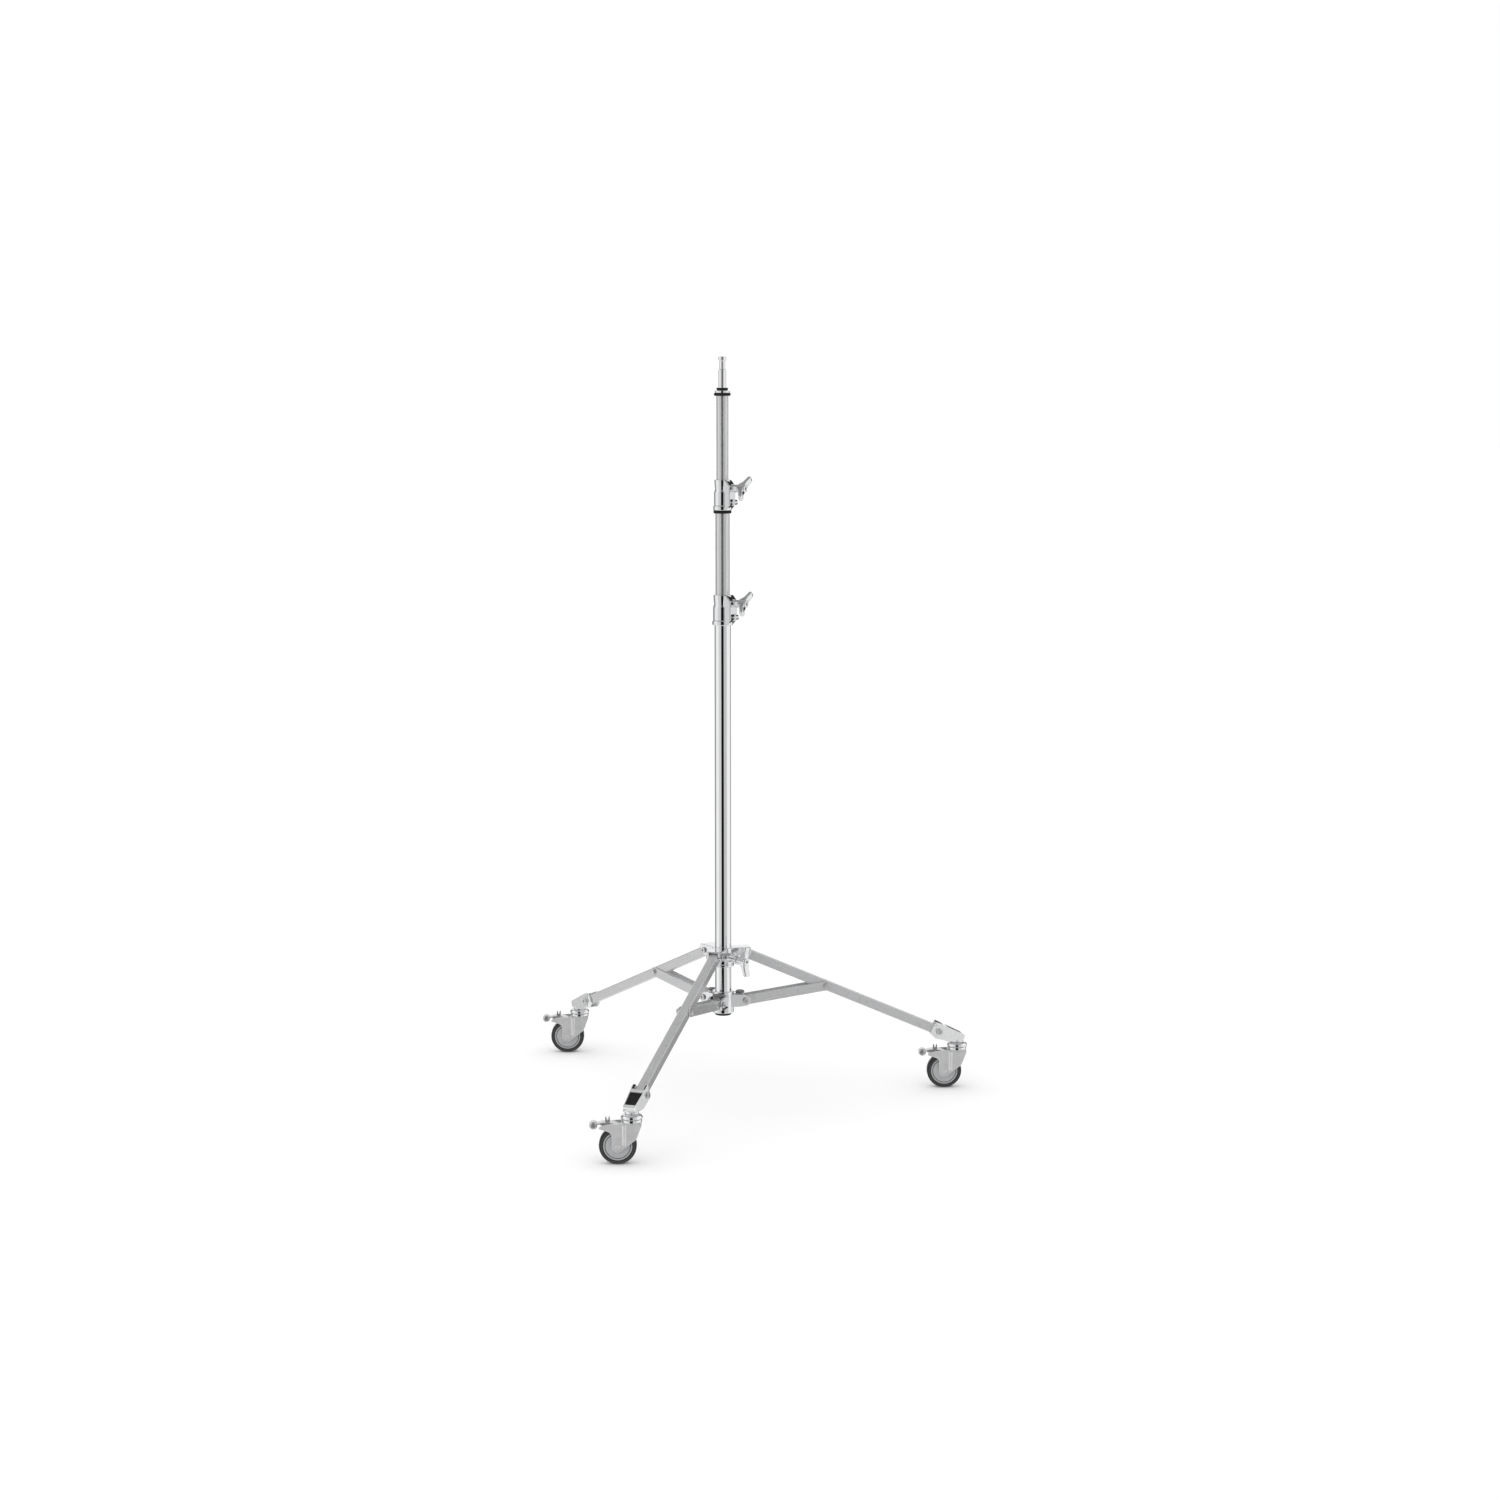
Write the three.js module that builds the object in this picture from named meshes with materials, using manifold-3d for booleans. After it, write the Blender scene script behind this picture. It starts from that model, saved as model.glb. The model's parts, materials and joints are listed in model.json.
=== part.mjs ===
// Rolling light stand with three folding legs, three telescoping sections and braked casters.
// Millimetres, +Z up, origin on the floor under the middle of the stand's bounding box.

import * as THREE from "three";
import { mergeVertices } from "three/addons/utils/BufferGeometryUtils.js";
import Module from "manifold-3d";

const wasm = await Module();
wasm.setup();

// Clearances and facets

const gap = 0.3; // between pieces that touch or slide on each other
const overrun = 3; // how far a cutting solid runs past the faces it cuts
const weldTolerance = 0.0005; // vertices closer than this are one vertex
const tubeSides = 28; // sides of tubes, collars and rings
const wheelSides = 28; // sides of tyres
const coreSides = 20; // sides of wheel cores
const headSides = 16; // sides of swivel heads and hubs
const pinSides = 10; // sides of pins, bolts and bores
const cornerSteps = 2; // steps in the rounded corner of a square tube
const endSteps = 4; // steps in the rounded end of a bar or a lug

// Telescoping sections

const column = { radius: 17.5, wall: 1.8, length: 864 };
const riserOne = { radius: 15, wall: 1.8, length: 900, extension: 169 };
const riserTwo = { radius: 12.5, wall: 1.8, length: 900, extension: 172 };
const glide = { height: 12, plugDepth: 14, plugWall: 2.5 };
const footPlug = { height: 5, plugDepth: 14 };

// Spigot and the stack of rings under it

const spigot = {
  radius: 8,
  bodyLength: 37,
  neckRadius: 6.1,
  neckLength: 18.5,
  headLength: 8,
  edgeBevel: 1,
  shankRadius: 8.6,
  shankLength: 30,
};
const spigotWasher = { radius: 12.6, height: 5.7, bevel: 1.2 };
const topFerrule = { radius: 15.8, height: 4.2, plugDepth: 6 };
const topBumper = { radius: 18, height: 6, bevel: 1.8 };

// Clamp collars

const collar = {
  height: 64,
  neckHeight: 27,
  lipHeight: 9,
  neckWall: 3.6,
  bodyWall: 2.8,
  lipWall: 4,
  seatDepth: 36,
  earReach: 9,
  earInset: 1,
  shoulderDrop: 13,
  shoulderDepth: 10,
  heelRise: 12,
  heelDepth: 9,
  knobRise: 46,
  bossRadius: 8.4,
  bossLength: 3.5,
  knuckleRise: 17,
  knuckleRadius: 7.5,
  knuckleLength: 19,
  knucklePinRadius: 2.6,
};
const clampBumper = { height: 5.8, wall: 3.9 };
const clampKnobAzimuth = -6; // degrees
const clampKnobTilt = 45; // degrees that the wings lean from upright

// Wing knob, along its own axis

const knob = {
  hubRadius: 8.6,
  hubLength: 23,
  wingReach: 27,
  wingSpan: 66,
  wingWidth: 15,
  rootStart: 5,
  screwRadius: 3,
  socketRadius: 3,
  socketDepth: 5,
};
const wingOutlineShares = [
  // along the reach of the wings, and along half the span: out along the back, in along the front
  [0.3, 0.3],
  [0.5, 0.44],
  [0.6, 0.74],
  [0.68, 0.95],
  [0.82, 1],
  [0.96, 0.93],
  [1, 0.8],
  [0.9, 0.5],
  [0.82, 0.28],
];

// Folding base, heights above the bracket pivots follow from the slope of the legs

const linkage = {
  upperPivotRadius: 46,
  lowerPivotRadius: 46,
  pivotSpacing: 102.5,
  midPivotRadius: 222.5,
  legSlope: 24, // degrees below level
};
const leg = { size: 20, wall: 1.8, cornerRadius: 3 };
const brace = { barHeight: 20, barThickness: 2.9, barrelRadius: 8 };
const pin = { radius: 4, headRadius: 6.6, headHeight: 3.4 };
const midBolt = { shankRadius: 3.6, headRadius: 6.4, headHeight: 4.6 };
const slider = {
  sleeveWall: 4.6,
  topRise: 15.2,
  sleeveDrop: 28,
  lugWall: 5,
  lugReach: 12.5,
  lugDrop: 11,
  webThickness: 2.6,
  knobDrop: 7,
  knobAzimuth: -30, // degrees
  bossRadius: 10.5,
  bossReach: 30,
};
const spider = {
  sleeveWall: 5,
  topRise: 20.5,
  bottomDrop: 26,
  cheekThickness: 4.2,
  cheekRadius: 11,
  plateHeight: 5,
  plateReach: 13,
};

// Casters

const swivelRadius = 514; // from the column's axis to each swivel axis
const trailAzimuth = 200.5; // degrees, the way the wheels trail
const wheel = { radius: 37.5, trail: 27.5 };
const tyre = { wallHeight: 8.2, halfWidth: 11.8, treadHalfWidth: 7, shoulder: 2.6 };
const wheelCore = {
  discRadius: 24.4,
  grooveWidth: 1.3,
  grooveDepth: 2,
  discHalfWidth: 11.4,
  rimHalfWidth: 11,
};
const axle = { radius: 4, headRadius: 6.4, headHeight: 3 };
const fork = {
  halfGap: 14.5,
  plateThickness: 2.5,
  crownClearance: 5.6,
  crownThickness: 4,
  crownFront: 19,
  crownBack: 21,
  shinReach: 9.5,
  shinRise: 15,
  eyeRadius: 11.5,
  calfRise: 24,
  armReach: 58,
  armTipRadius: 3.4,
  armTipDrop: 14,
  armRootDepth: 17,
  kingpinRadius: 5.5,
  kingpinHeight: 8,
};
const swivelHead = {
  radius: 21.8,
  height: 16.5,
  skirtHeight: 9,
  shoulderRadius: 19.6,
  shoulderRise: 13.5,
  crownRadius: 16,
  stemRadius: 5,
  stemHeight: 12,
};
const bracket = {
  pivotSetback: 43, // from the swivel axis in to the leg's pivot
  pivotRise: 26,
  hoodBottomRise: 2.6,
  topRise: 22.5,
  outerReach: 15,
  outerTopDrop: 10,
  outerBottomInset: 6,
  cheekRadius: 17.4,
  innerHalfWidth: 16.6,
  outerHalfWidth: 12.6,
  bossRadius: 17.5,
  bossHeight: 14,
};
const pedal = {
  pivotReach: 14,
  pivotDrop: 2.4,
  trunnionRadius: 2.1,
  thickness: 2.2,
  halfWidth: 12,
  knobReach: 73,
  knobDrop: 3.6,
  knobRadius: 8.4,
  knobHalfWidth: 10,
  tabReach: 46,
  tabHeight: 13,
  tabLength: 9,
  tabNotch: 4,
  tabNotchDepth: 7,
  tabHalfWidth: 4,
};
const pedalCurveShares = [
  // along the pedal from its pivot, and height above the pivot as a share of the pivot's drop
  [0, 0],
  [0.12, 0.1],
  [0.2, 0.75],
  [0.36, 0.7],
  [0.58, -0.2],
  [0.8, -1.1],
  [0.94, -1.6],
];

const legs = [
  { name: "front", azimuth: -90 },
  { name: "right", azimuth: 30 },
  { name: "left", azimuth: 150 },
];

// Heights above the floor, from the wheels up

const radians = THREE.MathUtils.degToRad;
const axleHeight = wheel.radius * Math.cos(Math.PI / wheelSides);
const crownBottom = axleHeight + wheel.radius + fork.crownClearance;
const crownTop = crownBottom + fork.crownThickness;
const headBottom = crownTop + gap;
const headTop = headBottom + swivelHead.height;
const bracketBottom = headTop + gap;
const bracketPivotHeight = bracketBottom + bracket.pivotRise;
const legTan = Math.tan(radians(linkage.legSlope));
const bracketPivotRadius = swivelRadius - bracket.pivotSetback;
const legRun = bracketPivotRadius - linkage.upperPivotRadius;
const upperPivotHeight = bracketPivotHeight + legRun * legTan;
const lowerPivotHeight = upperPivotHeight - linkage.pivotSpacing;
const midRun = linkage.midPivotRadius - linkage.upperPivotRadius;
const midPivotHeight = upperPivotHeight - midRun * legTan;
const columnBottom = lowerPivotHeight - spider.bottomDrop;
const columnTop = columnBottom + column.length;
const collarOneBottom = columnTop - collar.seatDepth;
const collarOneTop = collarOneBottom + collar.height;
const clampBumperBottom = collarOneTop + riserOne.extension;
const collarTwoBottom = clampBumperBottom + clampBumper.height + gap;
const collarTwoTop = collarTwoBottom + collar.height;
const riserOneTop = collarTwoBottom + collar.seatDepth;
const riserOneBottom = riserOneTop - riserOne.length;
const topBumperBottom = collarTwoTop + riserTwo.extension;
const ferruleBottom = topBumperBottom + topBumper.height + gap;
const washerBottom = ferruleBottom + topFerrule.height + gap;
const spigotBottom = washerBottom + spigotWasher.height + gap;
const riserTwoTop = ferruleBottom - gap;
const riserTwoBottom = riserTwoTop - riserTwo.length;

// Sizes that pieces share

const braceOuterHalf = leg.size / 2 + gap + brace.barThickness;
const slotHalf = leg.size / 2 + gap;
const forkOuterHalf = fork.halfGap + fork.plateThickness;
const pivotEndRadius = leg.size / 2;
const tyreInnerRadius = wheel.radius - tyre.wallHeight;

// Solids and geometries

function solidOf(geometry) {
  const bare = geometry.clone();
  bare.deleteAttribute("normal");
  bare.deleteAttribute("uv");
  const welded = mergeVertices(bare, weldTolerance);
  return new wasm.Manifold(
    new wasm.Mesh({
      numProp: 3,
      vertProperties: welded.attributes.position.array,
      triVerts: new Uint32Array(welded.index.array),
    }),
  );
}

function geometryOf(solid) {
  const made = solid.getMesh();
  const stride = made.numProp;
  const points = new Float32Array(made.numVert * 3);
  for (let i = 0; i < made.numVert; i++) {
    points.set(made.vertProperties.subarray(i * stride, i * stride + 3), i * 3);
  }
  const geometry = new THREE.BufferGeometry();
  geometry.setAttribute("position", new THREE.BufferAttribute(points, 3));
  geometry.setIndex(new THREE.BufferAttribute(new Uint32Array(made.triVerts), 1));
  geometry.computeVertexNormals();
  return geometry;
}

function join(...geometries) {
  return geometries.map(solidOf).reduce((whole, next) => whole.add(next));
}

function cut(solid, ...geometries) {
  return geometries.map(solidOf).reduce((whole, next) => whole.subtract(next), solid);
}

// A profile of [radius, height] pairs, outside going up, turned about the Z axis.
function turned(profile, sides) {
  const points = profile.map(([r, h]) => new THREE.Vector2(r, h));
  return new THREE.LatheGeometry(points, sides).rotateX(Math.PI / 2);
}

// The same profile turned about the Y axis, with a flat side facing down.
function turnedAcross(profile, sides) {
  const points = profile.map(([r, h]) => new THREE.Vector2(r, h));
  return new THREE.LatheGeometry(points, sides, Math.PI / sides);
}

function ring(inner, outer, bottom, top, bevel = 0) {
  return turned(
    [
      [inner, bottom],
      [outer - bevel, bottom],
      ...(bevel ? [[outer, bottom + bevel]] : []),
      ...(bevel ? [[outer, top - bevel]] : []),
      [outer - bevel, top],
      [inner, top],
      [inner, bottom],
    ],
    tubeSides,
  );
}

function rodUp(radius, bottom, top, sides = pinSides) {
  return new THREE.CylinderGeometry(radius, radius, top - bottom, sides)
    .rotateX(Math.PI / 2)
    .translate(0, 0, (bottom + top) / 2);
}

function rodAcross(radius, x, z, halfLength, sides = pinSides) {
  return new THREE.CylinderGeometry(radius, radius, 2 * halfLength, sides).translate(x, 0, z);
}

function rodOut(radius, start, end, z, sides = pinSides) {
  return new THREE.CylinderGeometry(radius, radius, end - start, sides)
    .rotateZ(-Math.PI / 2)
    .translate((start + end) / 2, 0, z);
}

// A box from its lowest to its highest corner.
function block(low, high) {
  const size = high.map((h, i) => h - low[i]);
  return new THREE.BoxGeometry(...size).translate(...high.map((h, i) => (h + low[i]) / 2));
}

// An outline drawn in X and Z, given thickness along Y between two places.
function slab(shape, nearY, farY, curveSegments = endSteps) {
  const settings = { depth: farY - nearY, bevelEnabled: false, curveSegments };
  return new THREE.ExtrudeGeometry(shape, settings).rotateX(Math.PI / 2).translate(0, farY, 0);
}

// An outline drawn in X and Y, given height along Z.
function plate(shape, bottom, top, curveSegments = endSteps) {
  const settings = { depth: top - bottom, bevelEnabled: false, curveSegments };
  return new THREE.ExtrudeGeometry(shape, settings).translate(0, 0, bottom);
}

function outline(points) {
  return new THREE.Shape(points.map(([x, y]) => new THREE.Vector2(x, y)));
}

// A bar outline with round ends about (0, 0) and (length, 0).
function barOutline(length, radius) {
  const shape = new THREE.Shape();
  shape.absarc(length, 0, radius, -Math.PI / 2, Math.PI / 2);
  shape.absarc(0, 0, radius, Math.PI / 2, (3 * Math.PI) / 2);
  return shape;
}

function roundedSquare(half, radius) {
  const shape = new THREE.Shape();
  const inner = half - radius;
  shape.absarc(inner, -inner, radius, -Math.PI / 2, 0);
  shape.absarc(inner, inner, radius, 0, Math.PI / 2);
  shape.absarc(-inner, inner, radius, Math.PI / 2, Math.PI);
  shape.absarc(-inner, -inner, radius, Math.PI, (3 * Math.PI) / 2);
  return shape;
}

// Telescoping sections

function tubeGeometry(section, bottom, top) {
  return ring(section.radius - section.wall, section.radius, bottom, top);
}

// A nylon foot on the lower end of a riser, running in the tube outside it.
function glideGeometry(riser, outerTube, riserBottom) {
  const plugRadius = riser.radius - riser.wall - gap;
  const runRadius = outerTube.radius - outerTube.wall - gap;
  const shoulder = riserBottom - gap;
  return turned(
    [
      [plugRadius - glide.plugWall, shoulder - glide.height],
      [runRadius, shoulder - glide.height],
      [runRadius, shoulder],
      [plugRadius, shoulder],
      [plugRadius, shoulder + glide.plugDepth],
      [plugRadius - glide.plugWall, shoulder + glide.plugDepth],
      [plugRadius - glide.plugWall, shoulder - glide.height],
    ],
    tubeSides,
  );
}

function footPlugGeometry() {
  const plugRadius = column.radius - column.wall - gap;
  const shoulder = columnBottom - gap;
  return turned(
    [
      [0, shoulder - footPlug.height],
      [column.radius, shoulder - footPlug.height],
      [column.radius, shoulder],
      [plugRadius, shoulder],
      [plugRadius, shoulder + footPlug.plugDepth],
      [0, shoulder + footPlug.plugDepth],
    ],
    tubeSides,
  );
}

// Spigot stack

function spigotGeometry() {
  const neckBottom = spigotBottom + spigot.bodyLength;
  const neckTop = neckBottom + spigot.neckLength;
  const top = neckTop + spigot.headLength;
  const bevel = spigot.edgeBevel;
  return turned(
    [
      [0, spigotBottom - spigot.shankLength],
      [spigot.shankRadius, spigotBottom - spigot.shankLength],
      [spigot.shankRadius, spigotBottom],
      [spigot.radius, spigotBottom],
      [spigot.radius, neckBottom - bevel],
      [spigot.neckRadius, neckBottom + bevel],
      [spigot.neckRadius, neckTop - bevel],
      [spigot.radius, neckTop + bevel],
      [spigot.radius, top - bevel],
      [spigot.radius - bevel, top],
      [0, top],
    ],
    headSides,
  );
}

// The ferrule caps riser two and has a skirt inside the tube, round the spigot's shank.
function ferruleGeometry() {
  const inner = spigot.shankRadius + gap;
  const skirt = riserTwo.radius - riserTwo.wall - gap;
  const top = ferruleBottom + topFerrule.height;
  return turned(
    [
      [inner, ferruleBottom - topFerrule.plugDepth],
      [skirt, ferruleBottom - topFerrule.plugDepth],
      [skirt, ferruleBottom],
      [topFerrule.radius, ferruleBottom],
      [topFerrule.radius, top],
      [inner, top],
      [inner, ferruleBottom - topFerrule.plugDepth],
    ],
    tubeSides,
  );
}

// Clamp collar: a stepped sleeve on the end of the outer tube, with an ear for the clamp screw

function clampCollarGeometry(outerTube, innerTube, bottom) {
  const top = bottom + collar.height;
  const step = top - collar.neckHeight;
  const lip = bottom + collar.lipHeight;
  const seat = bottom + collar.seatDepth + gap;
  const wideBore = outerTube.radius + gap;
  const narrowBore = innerTube.radius + gap;
  const earFace = outerTube.radius + collar.earReach;
  const earHalf = outerTube.radius - collar.earInset;
  const knobHeight = bottom + collar.knobRise;
  const knuckleHeight = bottom + collar.knuckleRise;
  const bore = turned(
    [
      [0, bottom - overrun],
      [wideBore, bottom - overrun],
      [wideBore, seat],
      [narrowBore, seat],
      [narrowBore, top + overrun],
      [0, top + overrun],
    ],
    tubeSides,
  );
  const sleeve = turned(
    [
      [0, bottom],
      [wideBore + collar.lipWall, bottom],
      [wideBore + collar.lipWall, lip],
      [wideBore + collar.bodyWall, lip],
      [wideBore + collar.bodyWall, step],
      [narrowBore + collar.neckWall, step],
      [narrowBore + collar.neckWall, top],
      [0, top],
    ],
    tubeSides,
  );
  const ear = slab(
    outline([
      [0, bottom],
      [earFace - collar.heelDepth, bottom],
      [earFace, bottom + collar.heelRise],
      [earFace, top - collar.shoulderDrop],
      [earFace - collar.shoulderDepth, top],
      [0, top],
    ]),
    -earHalf,
    earHalf,
  );
  const knuckleHalf = collar.knuckleLength / 2;
  const knuckleX = earFace - collar.knuckleRadius / 2;
  const knuckle = rodAcross(collar.knuckleRadius, knuckleX, knuckleHeight, knuckleHalf);
  const boss = rodOut(collar.bossRadius, narrowBore, earFace + collar.bossLength, knobHeight, headSides);
  const pinHole = rodAcross(collar.knucklePinRadius, knuckleX, knuckleHeight, earHalf + overrun);
  const screwBore = rodOut(
    knob.screwRadius + gap,
    0,
    earFace + collar.bossLength + overrun,
    knobHeight,
  );
  return geometryOf(cut(join(sleeve, ear, knuckle, boss), bore, pinHole, screwBore));
}

// Wing knob: the hub starts at X = 0, and the screw runs back to the tube it clamps

function wingKnobGeometry(screwLength) {
  const half = knob.wingSpan / 2;
  const length = knob.hubLength;
  const oneWing = wingOutlineShares.map(([along, across]) => [along * knob.wingReach, across * half]);
  const otherWing = oneWing.map(([along, across]) => [along, -across]).reverse();
  const wings = slab(
    outline([[knob.rootStart, 0], ...oneWing, ...otherWing]),
    -knob.wingWidth / 2,
    knob.wingWidth / 2,
  );
  const hub = rodOut(knob.hubRadius, 0, length, 0, headSides);
  const socket = rodOut(knob.socketRadius, length - knob.socketDepth, length + overrun, 0);
  const screw = rodOut(knob.screwRadius, -screwLength, knob.rootStart, 0);
  return geometryOf(cut(join(hub, wings, screw), socket));
}

// Folding base

// Upper collar: slides on the column and carries the legs between pairs of cheeks.
function sliderGeometry() {
  const top = upperPivotHeight + slider.topRise;
  const bottom = upperPivotHeight - slider.sleeveDrop;
  const sleeveRadius = column.radius + gap + slider.sleeveWall;
  const lugHalf = slotHalf + slider.lugWall;
  const lugEnd = linkage.upperPivotRadius + slider.lugReach;
  const lugBottom = upperPivotHeight - slider.lugDrop;
  const knobHeight = upperPivotHeight - slider.knobDrop;
  let body = join(rodUp(sleeveRadius, bottom, top, tubeSides));
  for (const { azimuth } of legs) {
    const turn = radians(azimuth);
    const lug = block([0, -lugHalf, lugBottom], [lugEnd, lugHalf, top]).rotateZ(turn);
    body = body.add(solidOf(lug));
  }
  const boss = rodOut(slider.bossRadius, 0, sleeveRadius + slider.bossReach, knobHeight, headSides);
  body = body.add(solidOf(boss.rotateZ(radians(slider.knobAzimuth))));
  for (const { azimuth } of legs) {
    const turn = radians(azimuth);
    const slotStart = linkage.upperPivotRadius - pivotEndRadius - gap;
    const slotTop = top - slider.webThickness;
    const slot = block(
      [slotStart, -slotHalf, lugBottom - overrun],
      [lugEnd + overrun, slotHalf, slotTop],
    ).rotateZ(turn);
    const bore = rodAcross(
      pin.radius + gap,
      linkage.upperPivotRadius,
      upperPivotHeight,
      lugHalf + overrun,
    ).rotateZ(turn);
    body = cut(body, slot, bore);
  }
  const screwBore = rodOut(
    knob.screwRadius + gap,
    0,
    sleeveRadius + slider.bossReach + overrun,
    knobHeight,
  ).rotateZ(radians(slider.knobAzimuth));
  const columnBore = rodUp(column.radius + gap, bottom - overrun, top + overrun, tubeSides);
  return geometryOf(cut(body, columnBore, screwBore));
}

// Lower collar: fixed to the foot of the column, with a fork of two cheeks for each brace.
function spiderGeometry() {
  const top = lowerPivotHeight + spider.topRise;
  const bottom = columnBottom;
  const sleeveRadius = column.radius + gap + spider.sleeveWall;
  const cheekInner = braceOuterHalf + gap;
  const cheekOuter = cheekInner + spider.cheekThickness;
  let body = join(rodUp(sleeveRadius, bottom, top, tubeSides));
  for (const { azimuth } of legs) {
    const turn = radians(azimuth);
    const cheekShape = barOutline(linkage.lowerPivotRadius, spider.cheekRadius);
    const pair = slab(cheekShape, -cheekOuter, cheekOuter).translate(0, 0, lowerPivotHeight);
    const plateBlock = block(
      [0, -cheekOuter, bottom],
      [sleeveRadius + spider.plateReach, cheekOuter, bottom + spider.plateHeight],
    );
    const riser = block(
      [0, -cheekOuter, bottom],
      [sleeveRadius, cheekOuter, lowerPivotHeight],
    );
    body = body.add(solidOf(pair.rotateZ(turn)));
    body = body.add(solidOf(plateBlock.rotateZ(turn)));
    body = body.add(solidOf(riser.rotateZ(turn)));
  }
  for (const { azimuth } of legs) {
    const turn = radians(azimuth);
    const slot = block(
      [sleeveRadius, -cheekInner, bottom + spider.plateHeight],
      [linkage.lowerPivotRadius + spider.cheekRadius + overrun, cheekInner, top + overrun],
    ).rotateZ(turn);
    const bore = rodAcross(
      pin.radius + gap,
      linkage.lowerPivotRadius,
      lowerPivotHeight,
      cheekOuter + overrun,
    ).rotateZ(turn);
    body = cut(body, slot, bore);
  }
  const columnBore = rodUp(column.radius + gap, bottom - overrun, top + overrun, tubeSides);
  return geometryOf(cut(body, columnBore));
}

// Square tube with round ends about its two pivots, drawn from the upper pivot along X.
function legGeometry() {
  const length = legRun / Math.cos(radians(linkage.legSlope));
  const half = leg.size / 2;
  const outer = plate(
    roundedSquare(half, leg.cornerRadius),
    -half,
    length + half,
    cornerSteps,
  ).rotateY(Math.PI / 2);
  const inner = plate(
    roundedSquare(half - leg.wall, leg.cornerRadius - leg.wall),
    -half - overrun,
    length + half + overrun,
    cornerSteps,
  ).rotateY(Math.PI / 2);
  const ends = slab(barOutline(length, half), -leg.size, leg.size);
  const tube = solidOf(outer).intersect(solidOf(ends));
  const bores = [0, length].map((x) => rodAcross(pin.radius + gap, x, 0, leg.size));
  return geometryOf(cut(tube, inner, ...bores));
}

// Two flat bars on a barrel at the lower pivot; the leg runs between the bars at the other end.
function braceGeometry() {
  const run = linkage.midPivotRadius - linkage.lowerPivotRadius;
  const rise = midPivotHeight - lowerPivotHeight;
  const length = Math.hypot(run, rise);
  const half = brace.barHeight / 2;
  const bars = [-1, 1].map((side) => {
    const inner = side * slotHalf;
    const outer = side * braceOuterHalf;
    return slab(barOutline(length, half), Math.min(inner, outer), Math.max(inner, outer));
  });
  const barrel = rodAcross(brace.barrelRadius, 0, 0, slotHalf + brace.barThickness / 2, headSides);
  const bores = [
    rodAcross(pin.radius + gap, 0, 0, braceOuterHalf + overrun),
    rodAcross(midBolt.shankRadius + gap, length, 0, braceOuterHalf + overrun),
  ];
  return geometryOf(cut(join(...bars, barrel), ...bores));
}

// A pin across a joint, with a head outside each cheek.
function pinGeometry(halfGrip, radius, headRadius, headHeight) {
  const inner = halfGrip + gap;
  const outer = inner + headHeight;
  return turnedAcross(
    [
      [0, -outer],
      [headRadius, -outer],
      [headRadius, -inner],
      [radius, -inner],
      [radius, inner],
      [headRadius, inner],
      [headRadius, outer],
      [0, outer],
    ],
    pinSides,
  );
}

// One end of the bolt at a brace's outer end: a head or nut and the shank in the bar's hole.
function midFastenerGeometry(side, headSidesCount) {
  const inner = slotHalf + gap;
  const face = braceOuterHalf + gap;
  const end = face + midBolt.headHeight;
  const shank = rodAcross(midBolt.shankRadius, 0, 0, (end - inner) / 2);
  const head = rodAcross(midBolt.headRadius, 0, 0, midBolt.headHeight / 2, headSidesCount);
  const both = join(
    shank.translate(0, (side * (inner + end)) / 2, 0),
    head.translate(0, (side * (face + end)) / 2, 0),
  );
  return geometryOf(both);
}

// Casters

// Plated hood over the end of a leg, on a round boss above the swivel.
function bracketGeometry() {
  const pivotX = bracketPivotRadius;
  const pivotZ = bracketPivotHeight;
  const endX = swivelRadius + bracket.outerReach;
  const hoodBottom = bracketBottom + bracket.hoodBottomRise;
  const endTop = pivotZ - bracket.outerTopDrop;
  const half = bracket.innerHalfWidth;
  const side = new THREE.Shape();
  side.moveTo(pivotX, pivotZ + bracket.topRise);
  side.absarc(pivotX, pivotZ, bracket.cheekRadius, (5 * Math.PI) / 6, (17 * Math.PI) / 12);
  side.lineTo(pivotX + bracket.cheekRadius, hoodBottom);
  side.lineTo(endX - bracket.outerBottomInset, hoodBottom);
  side.lineTo(endX, endTop);
  side.closePath();
  const taper = outline([
    [pivotX - bracket.cheekRadius - overrun, -half],
    [pivotX, -half],
    [endX + overrun, -bracket.outerHalfWidth],
    [endX + overrun, bracket.outerHalfWidth],
    [pivotX, half],
    [pivotX - bracket.cheekRadius - overrun, half],
  ]);
  const taperTop = pivotZ + bracket.topRise + overrun;
  const hood = solidOf(slab(side, -half, half)).intersect(
    solidOf(plate(taper, bracketBottom, taperTop)),
  );
  const bossTop = bracketBottom + bracket.bossHeight;
  const boss = rodUp(bracket.bossRadius, bracketBottom, bossTop, headSides);
  const legClear = pivotEndRadius + gap;
  const slot = block(
    [pivotX - bracket.cheekRadius - overrun, -slotHalf, bracketBottom - overrun],
    [pivotX + legClear, slotHalf, taperTop],
  );
  const bore = rodAcross(pin.radius + gap, pivotX, pivotZ, half + overrun);
  const stemBore = rodUp(
    swivelHead.stemRadius + gap,
    bracketBottom - overrun,
    bracketBottom + swivelHead.stemHeight,
  );
  const body = hood.add(solidOf(boss.translate(swivelRadius, 0, 0)));
  return geometryOf(cut(body, slot, bore, stemBore.translate(swivelRadius, 0, 0)));
}

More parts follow.
